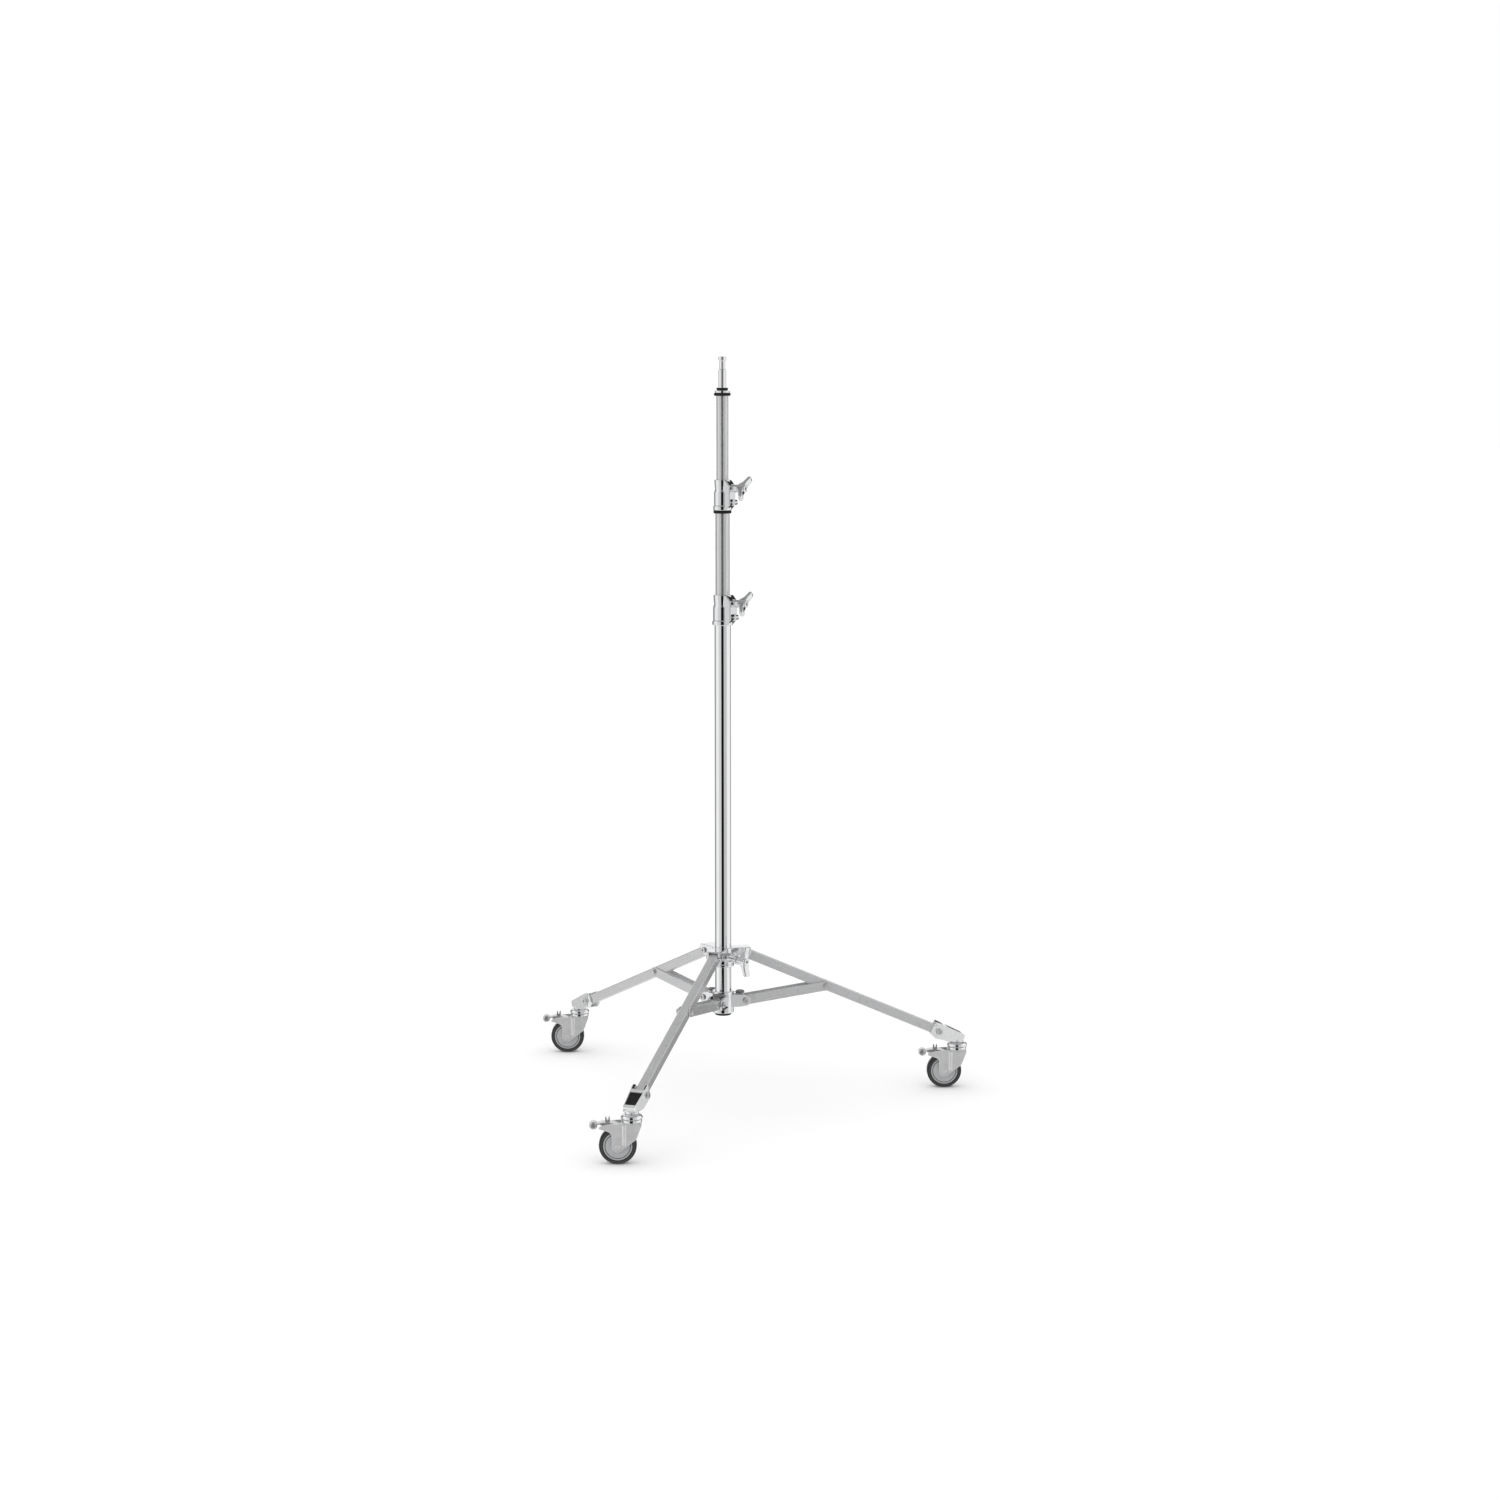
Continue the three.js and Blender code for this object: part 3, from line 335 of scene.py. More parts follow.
class BracketSizes(PropertyGroup):
    """Sizes of the hoods over the ends of the legs, measured from the leg's pivot."""

    inner_half: length("Inner half width", 16.6, "Half the hood's width at the leg")
    outer_half: length("Outer half width", 12.6, "Half the hood's width at its outer end")
    peak: length("Peak", 21.3, "Height of the hood's peak")
    back: length("Back", 6, "How far the hood's upright back stands behind the pivot")
    back_drop: length("Back drop", 12, "Drop of the back's lower corner")
    cheek_radius: length("Cheek radius", 17.2, "Round of the cheeks about the pivot")
    cheek_half: length("Cheek half width", 14.5, "Half the width across the cheeks")
    outer_drop: length("Outer drop", 11.8, "Drop of the hood's outer end")
    outer_reach: length("Outer reach", 60.5, "Reach of the hood's outer end")
    foot_drop: length("Foot drop", 23.2, "Drop of the hood's lower edge")
    foot_start: length("Foot start", 18, "Where the hood's lower edge begins")
    foot_inset: length("Foot inset", 7, "How far the outer end slants back")
    corner_round: length("Corner round", 3, "Round on the hood's corners")
    bevel: length("Bevel", 1.3, "Bevel on the hood's edges")
    pocket_rim: length("Pocket rim", 1.7, "Wall left beside the pockets in the hood's slope")
    pocket_depth: length("Pocket depth", 2.8, "Depth of those pockets")
    # The black pieces in the pockets are a painted dark reflection on the hood's slope
    insert_recess: length("Insert recess", 1.5, "How deep the black inserts lie in their pockets")
    boss_radius: length("Boss radius", 14.4, "Half the width of the round boss")
    boss_drop: length("Boss drop", 26, "Drop of the boss's foot")
    boss_height: length("Boss height", 5.5, "Height of the boss")
    boss_groove: length("Boss groove", 0.9, "Width and depth of the groove round the boss")


class SwivelSizes(PropertyGroup):
    """Sizes of the domed bearing housings."""

    radius: length("Radius", 22, "Half the width of the housing")
    dome_foot: length("Dome foot", 6.9, "Height where the dome begins, above the fork's crown")
    lip_height: length("Lip height", 1.4, "Height of the lip round the dome's foot")
    lip_inset: length("Lip inset", 0.8, "How much narrower the lip is")
    skirt_height: length("Skirt height", 10.4, "Height where the dome turns in")
    shoulder_radius: length("Shoulder radius", 19.8, "Half the width at the dome's shoulder")
    shoulder_height: length("Shoulder height", 14.4, "Height of the dome's shoulder")
    crown_radius: length("Crown radius", 15, "Half the width of the dome's flat top")
    height: length("Height", 16.5, "Height of the dome's top")
    stem_radius: length("Stem radius", 5, "Half the width of the stem")
    pocket_radius: length("Pocket radius", 5.8, "Half the width of the pocket for the kingpin")
    pocket_height: length("Pocket height", 8, "Height of the pocket for the kingpin")
    edge_round: length("Edge round", 1.6, "Round on the dome's edges")


class ForkSizes(PropertyGroup):
    """Sizes of the caster forks, measured from the swivel axis."""

    half_gap: length("Half gap", 14.5, "Half the space between the side plates")
    plate: length("Plate", 2.5, "Thickness of the side plates")
    plate_bevel: length("Plate bevel", 0.8, "Bevel on the side plates")
    front: length("Front", 20, "Reach of the plates in front")
    back: length("Back", 17, "Where the arms leave the crown behind")
    shin_reach: length("Shin reach", 9.5, "Reach of the plates above the axle")
    shin_rise: length("Shin rise", 15, "Height above the axle where the plates narrow")
    eye_radius: length("Eye radius", 11.5, "Round of the plates about the axle")
    calf_rise: length("Calf rise", 28, "Height above the axle of the back edge's bend")
    arm_reach: length("Arm reach", 60.5, "Reach of the arms behind")
    arm_tip: length("Arm tip", 3.4, "Round at the end of the arms")
    arm_drop: length("Arm drop", 9, "Drop of the arms' ends below the crown")
    flange: length("Flange", 4, "Depth of the flanges bent in at the front")
    crown: length("Crown", 4, "Thickness of the crown")
    crown_back: length("Crown back", 21, "Reach of the crown behind")
    arm_bend: length("Arm bend", 46, "Where the arms' upper edge bends down")
    arm_bend_drop: length("Arm bend drop", 1.9, "Drop of that bend below the crown")
    race_radius: length("Race radius", 20.6, "Half the width of the bearing ring on the crown")
    race_height: length("Race height", 6.2, "Height of the bearing ring above the crown")
    race_round: length("Race round", 1.6, "Round on the bearing ring")
    rib_place: length("Rib place", 14.5, "Distance of the pressed rib behind the swivel axis")
    rib_radius: length("Rib radius", 7.9, "Round across the pressed rib")
    rib_proud: length("Rib proud", 1.3, "How far the rib stands out of its plate")
    kingpin: length("Kingpin", 5.5, "Half the width of the kingpin")
    kingpin_height: length("Kingpin height", 8, "Height of the kingpin")
    axle_hole: length("Axle hole", 4.3, "Half the width of the holes for the axle")


class PedalSizes(PropertyGroup):
    """Sizes of the brake pedals, measured from the swivel axis."""

    thickness: length("Thickness", 2.2, "Thickness of the lever")
    half_width: length("Half width", 12, "Half the lever's width")
    waist: length("Waist", 8.6, "Half the lever's width at the foot knob")
    knob_reach: length("Knob reach", 75.5, "Distance of the foot knob behind the swivel axis")
    rise: length("Rise", 5.6, "Height of the lever's hump above its pivot")
    knob_radius: length("Knob radius", 8, "Half the height of the foot knob")
    knob_half: length("Knob half width", 10, "Half the width of the foot knob")
    tab_reach: length("Tab reach", 47.5, "Distance of the release tab behind the swivel axis")
    tab_height: length("Tab height", 16.5, "Height of the release tab above the pivot")
    tab_length: length("Tab length", 9, "Length of the release tab")
    tab_half: length("Tab half width", 4, "Half the width of the release tab")
    notch: length("Notch", 3.4, "Width of the notch in the tab")
    notch_depth: length("Notch depth", 6.5, "Depth of the notch in the tab")
    trunnion: length("Trunnion", 2.1, "Half the width of the lever's pivots")


class WheelSizes(PropertyGroup):
    """Sizes of the tyres, wheel cores and axles."""

    tyre_wall: length("Tyre wall", 8.2, "Depth of the tyre")
    tyre_half: length("Tyre half width", 11.8, "Half the tyre's width")
    tread_half: length("Tread half width", 7, "Half the width of the flat tread")
    shoulder: length("Shoulder", 2.6, "Drop of the tyre's shoulders")
    shoulder_round: length("Shoulder round", 2.4, "Round on the tyre's shoulders")
    disc_radius: length("Disc radius", 24.4, "Half the width of the core's disc")
    groove: length("Groove", 1.3, "Width of the groove round the disc")
    groove_depth: length("Groove depth", 2, "Depth of the groove round the disc")
    disc_half: length("Disc half width", 11.4, "Half the thickness of the disc")
    rim_half: length("Rim half width", 11, "Half the thickness of the rim")
    hub_radius: length("Hub radius", 9.5, "Half the width of the hub")
    hub_half: length("Hub half width", 14.2, "Half the length of the hub")
    axle_shank: length("Axle shank", 4, "Half the width of the axle")
    axle_head: length("Axle head", 5.4, "Half the width of the axle's head")
    axle_head_height: length("Axle head height", 2.2, "Height of the axle's head")


class Finishes(PropertyGroup):
    """Colours of the materials."""

    chrome: colour("Chrome", 0.86, 0.865, 0.875, "Column, spigot, ferrule, swivel heads and bearing rings")
    satin_riser: colour("Satin riser", 0.66, 0.662, 0.668, "The two risers")
    satin_leg: colour("Satin leg", 0.61, 0.612, 0.62, "Legs and braces")
    cast_alloy: colour("Cast alloy", 0.8, 0.805, 0.815, "Collars, knobs, slider and spider")
    plated_steel: colour("Plated steel", 0.72, 0.72, 0.725, "Pedals and fasteners")
    pressed_steel: colour("Pressed steel", 0.8, 0.802, 0.808, "Forks and axles")
    pad_rubber: colour("Pad rubber", 0.15, 0.15, 0.153, "Pads on the spider")
    bracket_alloy: colour("Bracket alloy", 0.9, 0.905, 0.912, "Brackets over the ends of the legs")
    # On the hoods, black nylon paints the dark reflection on their slopes
    black_nylon: colour("Black nylon", 0.007, 0.007, 0.0075, "Washer, foot plug and hood inserts")
    black_rubber: colour("Black rubber", 0.008, 0.008, 0.0085, "Bumpers")
    tyre_rubber: colour("Tyre rubber", 0.02, 0.02, 0.021, "Tyres")
    tyre_dust: colour("Tyre dust", 0.12, 0.118, 0.114, "Dust on the tread of a tyre")
    grey_nylon: colour("Grey nylon", 0.42, 0.425, 0.435, "Wheel cores and glides")
    wheel_rim: colour("Wheel rim", 0.4, 0.403, 0.41, "The ring round each wheel's disc")
    # Painted shade: this near-black colour stands in for the shade that falls in the groove between disc and ring
    wheel_groove_shade: colour("Wheel groove", 0.03, 0.03, 0.032, "The groove between disc and ring")
    tyre_side: colour("Tyre side", 0.055, 0.055, 0.057, "The worn band on a tyre's side")


class StageSizes(PropertyGroup):
    """Camera, light and floor."""

    camera_distance: length("Camera distance", 5759, "Level distance from the column to the camera")
    camera_height: length("Camera height", 1588, "Height of the camera above the floor")
    camera_azimuth: degrees("Camera azimuth", -69.5, "Direction of the camera seen from the column")
    camera_pitch: degrees("Camera pitch", -8.26, "How far the camera looks down")
    camera_yaw: degrees("Camera yaw", -0.57, "How far the camera looks past the column")
    camera_lens: number("Camera lens", 66.38, "Focal length on a sensor 36 mm wide")
    floor_size: length("Floor size", 80000, "Width of the floor")
    floor_colour: colour("Floor colour", 0.98, 0.98, 0.98, "Colour of the floor")
    ambient: number("Ambient", 0.88, "Strength of the light from all round")
    key_strength: number("Key strength", 0.7, "Strength of the soft lamp")
    key_spread: degrees("Key spread", 110, "Width of the soft lamp seen from the stand")
    key_lean: degrees("Key lean", 35, "How far the lamp leans from straight overhead")
    key_azimuth: degrees("Key azimuth", -125, "Direction of the lamp seen from the stand")


GROUPS = {
    "tubes": TubeSizes,
    "top": TopSizes,
    "collar": CollarSizes,
    "knob": KnobSizes,
    "slider": SliderSizes,
    "spider": SpiderSizes,
    "leg": LegSizes,
    "fastener": FastenerSizes,
    "bracket": BracketSizes,
    "swivel": SwivelSizes,
    "fork": ForkSizes,
    "pedal": PedalSizes,
    "wheel": WheelSizes,
    "finish": Finishes,
    "stage": StageSizes,
}


class LightStand(PropertyGroup):
    """Every size and colour of the stand."""

    __annotations__ = {name: PointerProperty(type=group) for name, group in GROUPS.items()}


# Modelling


def only(piece):
    """Selects one piece alone and makes it active."""
    bpy.ops.object.select_all(action="DESELECT")
    piece.select_set(True)
    bpy.context.view_layer.objects.active = piece


def rounded(corners, closed=False, steps=ROUND_STEPS):
    """The outline through the corners, each with the radius of its round as its third number."""
    spots = [complex(corner[0], corner[1]) for corner in corners]
    points = []
    for index, corner in enumerate(corners):
        here = spots[index]
        radius = corner[2] if len(corner) > 2 else 0.0
        inside = closed or 0 < index < len(corners) - 1
        if radius == 0.0 or not inside:
            points.append(here)
            continue
        back = spots[index - 1] - here
        ahead = spots[(index + 1) % len(spots)] - here
        turn = cmath.phase(ahead / back)
        side = math.copysign(1.0, turn)
        half = math.tan(abs(turn) / 2)
        pull = min(radius / half, EDGE_SHARE * abs(back), EDGE_SHARE * abs(ahead))
        start = here + pull * back / abs(back)
        spoke = -side * 1j * pull * half * back / abs(back)
        middle = start - spoke
        sweep = -side * (math.pi - abs(turn))
        points += [middle + spoke * cmath.exp(1j * sweep * step / steps) for step in range(steps + 1)]
    return [(point.real, point.imag) for point in points]


def arc(middle, radius, start, end, steps=12):
    """Points on an arc, from one angle in degrees to another."""
    angles = [math.radians(start + (end - start) * step / steps) for step in range(steps + 1)]
    return [(middle[0] + radius * math.cos(a), middle[1] + radius * math.sin(a)) for a in angles]


def bar(length, radius, steps=14):
    """Outline of a bar with round ends about (0, 0) and (length, 0)."""
    return arc((length, 0), radius, -90, 90, steps) + arc((0, 0), radius, 90, 270, steps)


def with_mirror(half):
    """An outline from its first half: the same corners come back with their second number negated."""
    return half + [(first, -second, *rounds) for first, second, *rounds in reversed(half)]


def sided(side, near, far):
    """A span on one side of the middle, its lower end first."""
    return sorted((side * near, side * far))


def traced(name, points):
    """Draws a line through the points from a single vertex, and leaves it selected in edit mode."""
    bpy.ops.object.select_all(action="DESELECT")
    bpy.ops.mesh.primitive_plane_add(size=MM, location=(0, 0, 0))
    piece = bpy.context.object
    piece.name = name
    bpy.ops.object.mode_set(mode="EDIT")
    bpy.ops.mesh.select_mode(type="VERT")
    bpy.ops.mesh.merge(type="CENTER")
    bpy.ops.transform.translate(value=points[0])
    for start, end in zip(points, points[1:]):
        step = Vector(end) - Vector(start)
        bpy.ops.mesh.extrude_region_move(TRANSFORM_OT_translate={"value": step})
    bpy.ops.mesh.select_all(action="SELECT")
    bpy.ops.mesh.remove_doubles(threshold=WELD)
    return piece


def closed_up():
    """Ends edit mode with the faces pointing out."""
    bpy.ops.mesh.select_all(action="SELECT")
    bpy.ops.mesh.remove_doubles(threshold=WELD)
    bpy.ops.mesh.normals_make_consistent(inside=False)
    bpy.ops.object.mode_set(mode="OBJECT")


def turned(name, outline, hollow=False, steps=TURN_STEPS):
    """Turns an outline of radius and height about the Z axis. A hollow one closes on itself."""
    ends = outline[:1] if hollow else []
    piece = traced(name, [(r, 0, z) for r, z in outline + ends])
    bpy.ops.mesh.spin(steps=steps, angle=math.tau, center=(0, 0, 0), axis=(0, 0, 1))
    closed_up()
    return piece


LIFTS = {
    "XY": lambda a, b, depth: (a, b, depth),
    "XZ": lambda a, b, depth: (a, depth, b),
    "YZ": lambda a, b, depth: (depth, a, b),
}


def plate(name, outline, low, high, bevel=0.0, plane="XY"):
    """Gives an outline thickness square to its plane, with its sharp edges bevelled."""
    lift = LIFTS[plane]
    piece = traced(name, [lift(a, b, low) for a, b in outline + outline[:1]])
    bpy.ops.mesh.edge_face_add()
    bpy.ops.mesh.extrude_region_move(TRANSFORM_OT_translate={"value": lift(0, 0, high - low)})
    closed_up()
    if bevel:
        bevelled(piece, bevel)
    return piece


def block(name, low, high, bevel=0.0):
    """A box between two corners, with its edges bevelled."""
    outline = [(low[0], low[1]), (high[0], low[1]), (high[0], high[1]), (low[0], high[1])]
    return plate(name, outline, low[2], high[2], bevel)


def applied(piece, kind, **settings):
    """Adds a modifier to a piece and applies it."""
    only(piece)
    bpy.ops.object.modifier_add(type=kind)
    modifier = piece.modifiers[-1]
    for key, value in settings.items():
        setattr(modifier, key, value)
    bpy.ops.object.modifier_apply(modifier=modifier.name)
    return piece


def bevelled(piece, width, steps=BEVEL_STEPS):
    return applied(
        piece, "BEVEL", width=width, segments=steps, limit_method="ANGLE", angle_limit=BEVEL_ANGLE
    )


def combined(base, others, operation="UNION"):
    """Joins other pieces to a base, or cuts it by them."""
    for other in others:
        applied(base, "BOOLEAN", operation=operation, solver="EXACT", object=other)
        bpy.data.objects.remove(other)
    return base


def cut(base, *cutters):
    return combined(base, cutters, "DIFFERENCE")


def joined(base, *others):
    return combined(base, others, "UNION")


def moved(piece, place):
    """Applies a place to a piece's mesh."""
    only(piece)
    piece.matrix_world = place
    bpy.ops.object.transform_apply(location=True, rotation=True, scale=True)
    return piece


ALONG_X = Matrix.Rotation(math.pi / 2, 4, "Y")
ALONG_Y = Matrix.Rotation(-math.pi / 2, 4, "X")


def rod(name, radius, start, end, direction=ALONG_X, at=(0, 0, 0), edge=0.0, tip=None, steps=ROD_STEPS):
    """A round bar from start to end along a direction, with its edges rounded."""
    tip = radius if tip is None else tip
    outline = rounded([(0, start), (radius, start, edge), (tip, end, edge), (0, end)], steps=3)
    return moved(turned(name, outline, steps=steps), Matrix.Translation(at) @ direction)


def bore_way(radius, low, high):
    """A cutter for a bore about the Z axis."""
    foot = low - CUT_PAST
    top = high + CUT_PAST
    return turned("way", [(0, foot), (radius, foot), (radius, top), (0, top)], steps=TUBE_STEPS)


def smoothed(piece):
    """Smooth shading with crisp edges, and flat faces that stay flat beside their bevels."""
    only(piece)
    bpy.ops.object.shade_smooth_by_angle(angle=SHARP_ANGLE)
    return applied(piece, "WEIGHTED_NORMAL", keep_sharp=True)


def with_grain(piece):
    """Keeps each point's place on the unplaced piece, for patterns that follow the piece."""
    grain = piece.data.attributes.new("grain", "FLOAT_VECTOR", "POINT")
    for vertex, item in zip(piece.data.vertices, grain.data):
        item.vector = vertex.co
    return piece


def twin(piece, name):
    """A copy of a piece with a mesh of its own."""
    only(piece)
    bpy.ops.object.duplicate(linked=False)
    copy = bpy.context.object
    copy.name = name
    return copy


def dressed(piece, slot, *nodes, body=None, finish=None):
    """Gives a piece its material, lets it ride with its CAD node and stand for it."""
    piece.data.materials.clear()
    piece.data.materials.append(material(finish or slot))
    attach(piece, body or BODY_OF[nodes[0]])
    if nodes:
        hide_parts(*nodes)


def set_out(piece, slot, suffix, place, finish=None, carrier=None):
    """Copies a modelled piece to each leg, each copy with its own mesh.

    A copy stands for the CAD node of its name, or is trim that rides with the node that carries it.
    """
    with_grain(smoothed(piece))
    for leg in LEGS:
        name = f"{leg}_{suffix}"
        if carrier is None:
            dressed(moved(twin(piece, f"{name}_fine"), place(leg)), slot, name, finish=finish)
        else:
            body = BODY_OF[carrier.format(leg=leg)]
            dressed(moved(twin(piece, name), place(leg)), slot, body=body, finish=finish)
    bpy.data.objects.remove(piece)


def set_in_place(piece, slot, node, place=None):
    """Finishes a piece that is there once."""
    with_grain(smoothed(piece))
    piece.name = f"{node}_fine"
    if place is not None:
        moved(piece, place)
    dressed(piece, slot, node)


# Materials


class Signal:
    """A number, colour or vector that comes out of a node."""

    def __init__(self, graph, socket):
        self.graph = graph
        self.socket = socket

    def maths(self, operation, *values):
        return self.graph.add("Math", {"operation": operation}, dict(enumerate(values)))

    def __add__(self, other):
        return self.maths("ADD", self, other)

    def __sub__(self, other):
        return self.maths("SUBTRACT", self, other)

    def __rsub__(self, other):
        return self.maths("SUBTRACT", other, self)

    def __mul__(self, other):
        return self.maths("MULTIPLY", self, other)

    def __truediv__(self, other):
        return self.maths("DIVIDE", self, other)

    def __rtruediv__(self, other):
        return self.maths("DIVIDE", other, self)

    __radd__ = __add__
    __rmul__ = __mul__


class Graph:
    """The nodes of one material, world or lamp."""

    def __init__(self, owner):
        owner.use_nodes = True
        self.tree = owner.node_tree
        self.tree.nodes.clear()

    def add(self, kind, settings=None, values=None, output=0):
        """Adds a node: its settings first, then the values or links of its sockets."""
        node = self.tree.nodes.new(f"ShaderNode{kind}")
        for key, value in (settings or {}).items():
            if key == "stops":
                set_stops(node.color_ramp, value)
            else:
                setattr(node, key, value)
        for key, value in (values or {}).items():
            if isinstance(value, Signal):
                self.tree.links.new(value.socket, node.inputs[key])
            else:
                node.inputs[key].default_value = value
        return Signal(self, node.outputs[output]) if len(node.outputs) else None

    def outputs(self, kind, values, *names):
        """Several outputs of one node."""
        sockets = self.add(kind, {}, values).socket.node.outputs
        return [Signal(self, sockets[name]) for name in names]

    def place(self):
        """Each point's place on the finished piece."""
        return self.add("TexCoord", output="Object")

    def grain(self):
        """Each point's place on the piece before it was set out."""
        return self.add("Attribute", {"attribute_name": "grain"}, output="Vector")

    def from_axle(self, place):
        """Distance of a place on an unplaced wheel from its axle."""
        x, z = self.outputs("SeparateXYZ", {"Vector": place}, "X", "Z")
        return x.maths("SQRT", x * x + z * z)

    def noise(self, place, scale, detail=2.0, stretch=None):
        """Soft noise from 0 to 1. Stretch scales the place along each axis first."""
        if stretch:
            place = self.add("Mapping", {"vector_type": "POINT"}, {"Vector": place, "Scale": stretch})
        return self.add("TexNoise", {}, {"Vector": place, "Scale": scale, "Detail": detail})

    def ease(self, value, low, high):
        """Rises smoothly from 0 at low to 1 at high."""
        settings = {"interpolation_type": "SMOOTHSTEP"}
        return self.add("MapRange", settings, {"Value": value, "From Min": low, "From Max": high})

    def blend(self, factor, first, second):
        """A colour between two colours."""
        return self.add("Mix", {"data_type": "RGBA"}, {0: factor, 6: first, 7: second}, output=2)

    def bump(self, height, strength, distance):
        values = {"Height": height, "Strength": strength, "Distance": distance}
        return self.add("Bump", {}, values)

    def surface(self, **values):
        named = {key.replace("_", " "): value for key, value in values.items()}
        shader = self.add("BsdfPrincipled", {}, named)
        self.add("OutputMaterial", {}, {"Surface": shader})


def set_stops(ramp, stops):
    """Sets a ramp's stops, each a place from 0 to 1 and a grey level."""
    while len(ramp.elements) < len(stops):
        ramp.elements.new(0.5)
    for element, (place, level) in zip(ramp.elements, stops):
        element.position = place
        element.color = grey(level)


def grey(level):
    return (level, level, level, 1.0)


def darker(tint, share):
    return tuple(part * share for part in tint[:3]) + (1.0,)


def mirror_plate(graph, tint):
    """Bright plating with faint waves, wipe marks and a few dull specks."""
    place = graph.place()
    waves = graph.noise(place, scale=30.0, detail=1.0)
    wipes = graph.noise(place, scale=240.0, detail=3.0, stretch=(1.0, 1.0, 0.08))
    specks = graph.ease(graph.noise(place, scale=900.0, detail=1.0), 0.7, 0.78)
    graph.surface(
        Base_Color=graph.blend(graph.ease(wipes, 0.35, 0.75), tint, darker(tint, 0.95)),
        Metallic=1.0,
        Roughness=0.012 + 0.03 * wipes + 0.1 * specks,
        Normal=graph.bump(waves, strength=0.04, distance=0.4 * MM),
    )


def drawn_satin(graph, tint, along, metal, low, spread):
    """Satin metal with fine lines drawn along the piece, and cloudy wear. Its roughness starts at low."""
    place = graph.grain()
    lines = graph.noise(place, scale=1400.0, detail=2.0, stretch=along)
    clouds = graph.noise(place, scale=22.0, detail=3.0)
    rubs = graph.ease(graph.noise(place, scale=75.0, detail=4.0), 0.56, 0.72)
    graph.surface(
        Base_Color=graph.blend(graph.ease(lines, 0.3, 0.75), darker(tint, 0.88), tint),
        Metallic=metal + 0.1 * rubs,
        Roughness=low + spread * lines + 0.06 * clouds,
        Normal=graph.bump(lines, strength=0.12, distance=0.05 * MM),
    )


def satin_tube(graph, tint):
    drawn_satin(graph, tint, along=(1.0, 1.0, 0.012), metal=0.84, low=0.1, spread=0.08)


def satin_bar(graph, tint):
    drawn_satin(graph, tint, along=(0.012, 1.0, 1.0), metal=0.5, low=0.16, spread=0.12)


def bright_casting(graph, tint):
    """Plated casting: shallow dents that bend reflections, pores and duller patches."""
    place = graph.place()
    swells = graph.noise(place, scale=70.0, detail=1.0)
    dents = graph.noise(place, scale=260.0, detail=2.0)
    pores = graph.ease(graph.noise(place, scale=1500.0, detail=1.0), 0.66, 0.76)
    patches = graph.noise(place, scale=55.0, detail=2.0)
    graph.surface(
        Base_Color=graph.blend(pores, tint, darker(tint, 0.75)),
        Metallic=1.0,
        Roughness=0.03 + 0.08 * patches + 0.15 * pores,
        Normal=graph.bump(swells + 0.18 * dents, strength=0.12, distance=0.4 * MM),
    )


def satin_casting(graph, tint):
    """Tumbled casting: between mirror and haze, with pores and soft swells."""
    place = graph.place()
    swells = graph.noise(place, scale=60.0, detail=2.0)
    pores = graph.ease(graph.noise(place, scale=1200.0, detail=2.0), 0.62, 0.76)
    graph.surface(
        Base_Color=graph.blend(pores, tint, darker(tint, 0.7)),
        Metallic=0.62 + 0.12 * swells,
        Roughness=0.1 + 0.12 * swells + 0.15 * pores,
        Normal=graph.bump(swells, strength=0.12, distance=0.5 * MM),
    )


def zinc_plate(graph, tint):
    """Bright zinc on small steel parts, with a faint cloud of spangle."""
    place = graph.place()
    cells = graph.noise(place, scale=210.0, detail=1.0)
    marks = graph.noise(place, scale=700.0, detail=4.0, stretch=(0.3, 1.0, 1.0))
    graph.surface(
        Base_Color=graph.blend(graph.ease(cells, 0.35, 0.7), darker(tint, 0.88), tint),
        Metallic=0.82,
        Roughness=0.2 + 0.12 * cells + 0.08 * marks,
        Normal=graph.bump(cells, strength=0.2, distance=0.5 * MM),
    )


def satin_plate(graph, tint):
    """Dull plating on pressed sheet: half mirror, half haze, with rolling lines and clouds."""
    place = graph.grain()
    clouds = graph.noise(place, scale=45.0, detail=3.0)
    lines = graph.noise(place, scale=600.0, detail=3.0, stretch=(1.0, 1.0, 0.05))
    graph.surface(
        Base_Color=graph.blend(graph.ease(clouds, 0.3, 0.7), darker(tint, 0.86), tint),
        Metallic=0.38 + 0.12 * clouds,
        Roughness=0.24 + 0.12 * lines,
        Normal=graph.bump(clouds, strength=0.25, distance=1.2 * MM),
    )


def moulded(graph, tint, low, grain_scale):
    """Moulded plastic or rubber with a fine grain and handling marks."""
    place = graph.place()
    grain = graph.noise(place, scale=grain_scale, detail=2.0)
    marks = graph.noise(place, scale=90.0, detail=4.0)
    lighter = tuple(min(1.0, part * 1.7 + 0.004) for part in tint[:3]) + (1.0,)
    graph.surface(
        Base_Color=graph.blend(graph.ease(marks, 0.5, 0.85), tint, lighter),
        Roughness=low + 0.14 * marks,
        Specular_IOR_Level=0.25,
        Normal=graph.bump(grain, strength=0.22, distance=0.12 * MM),
    )


def black_plastic(graph, tint):
    moulded(graph, tint, low=0.34, grain_scale=1800.0)


def soft_rubber(graph, tint):
    moulded(graph, tint, low=0.52, grain_scale=2600.0)


def grey_plastic(graph, tint):
    moulded(graph, tint, low=0.4, grain_scale=1800.0)


# Spans of distance from the axle over which the look of a wheel changes
TREAD_EDGE = (35.6 * MM, 37.2 * MM)
PALE_FROM = (30.0 * MM, 31.0 * MM)
PALE_TO = (33.0 * MM, 34.5 * MM)
GROOVE_SHADE_EDGE = (24.2 * MM, 24.45 * MM)
RIM_EDGE = (25.55 * MM, 25.75 * MM)
RING_PITCH = 1.6 * MM  # from one moulded ring on a tyre's side to the next


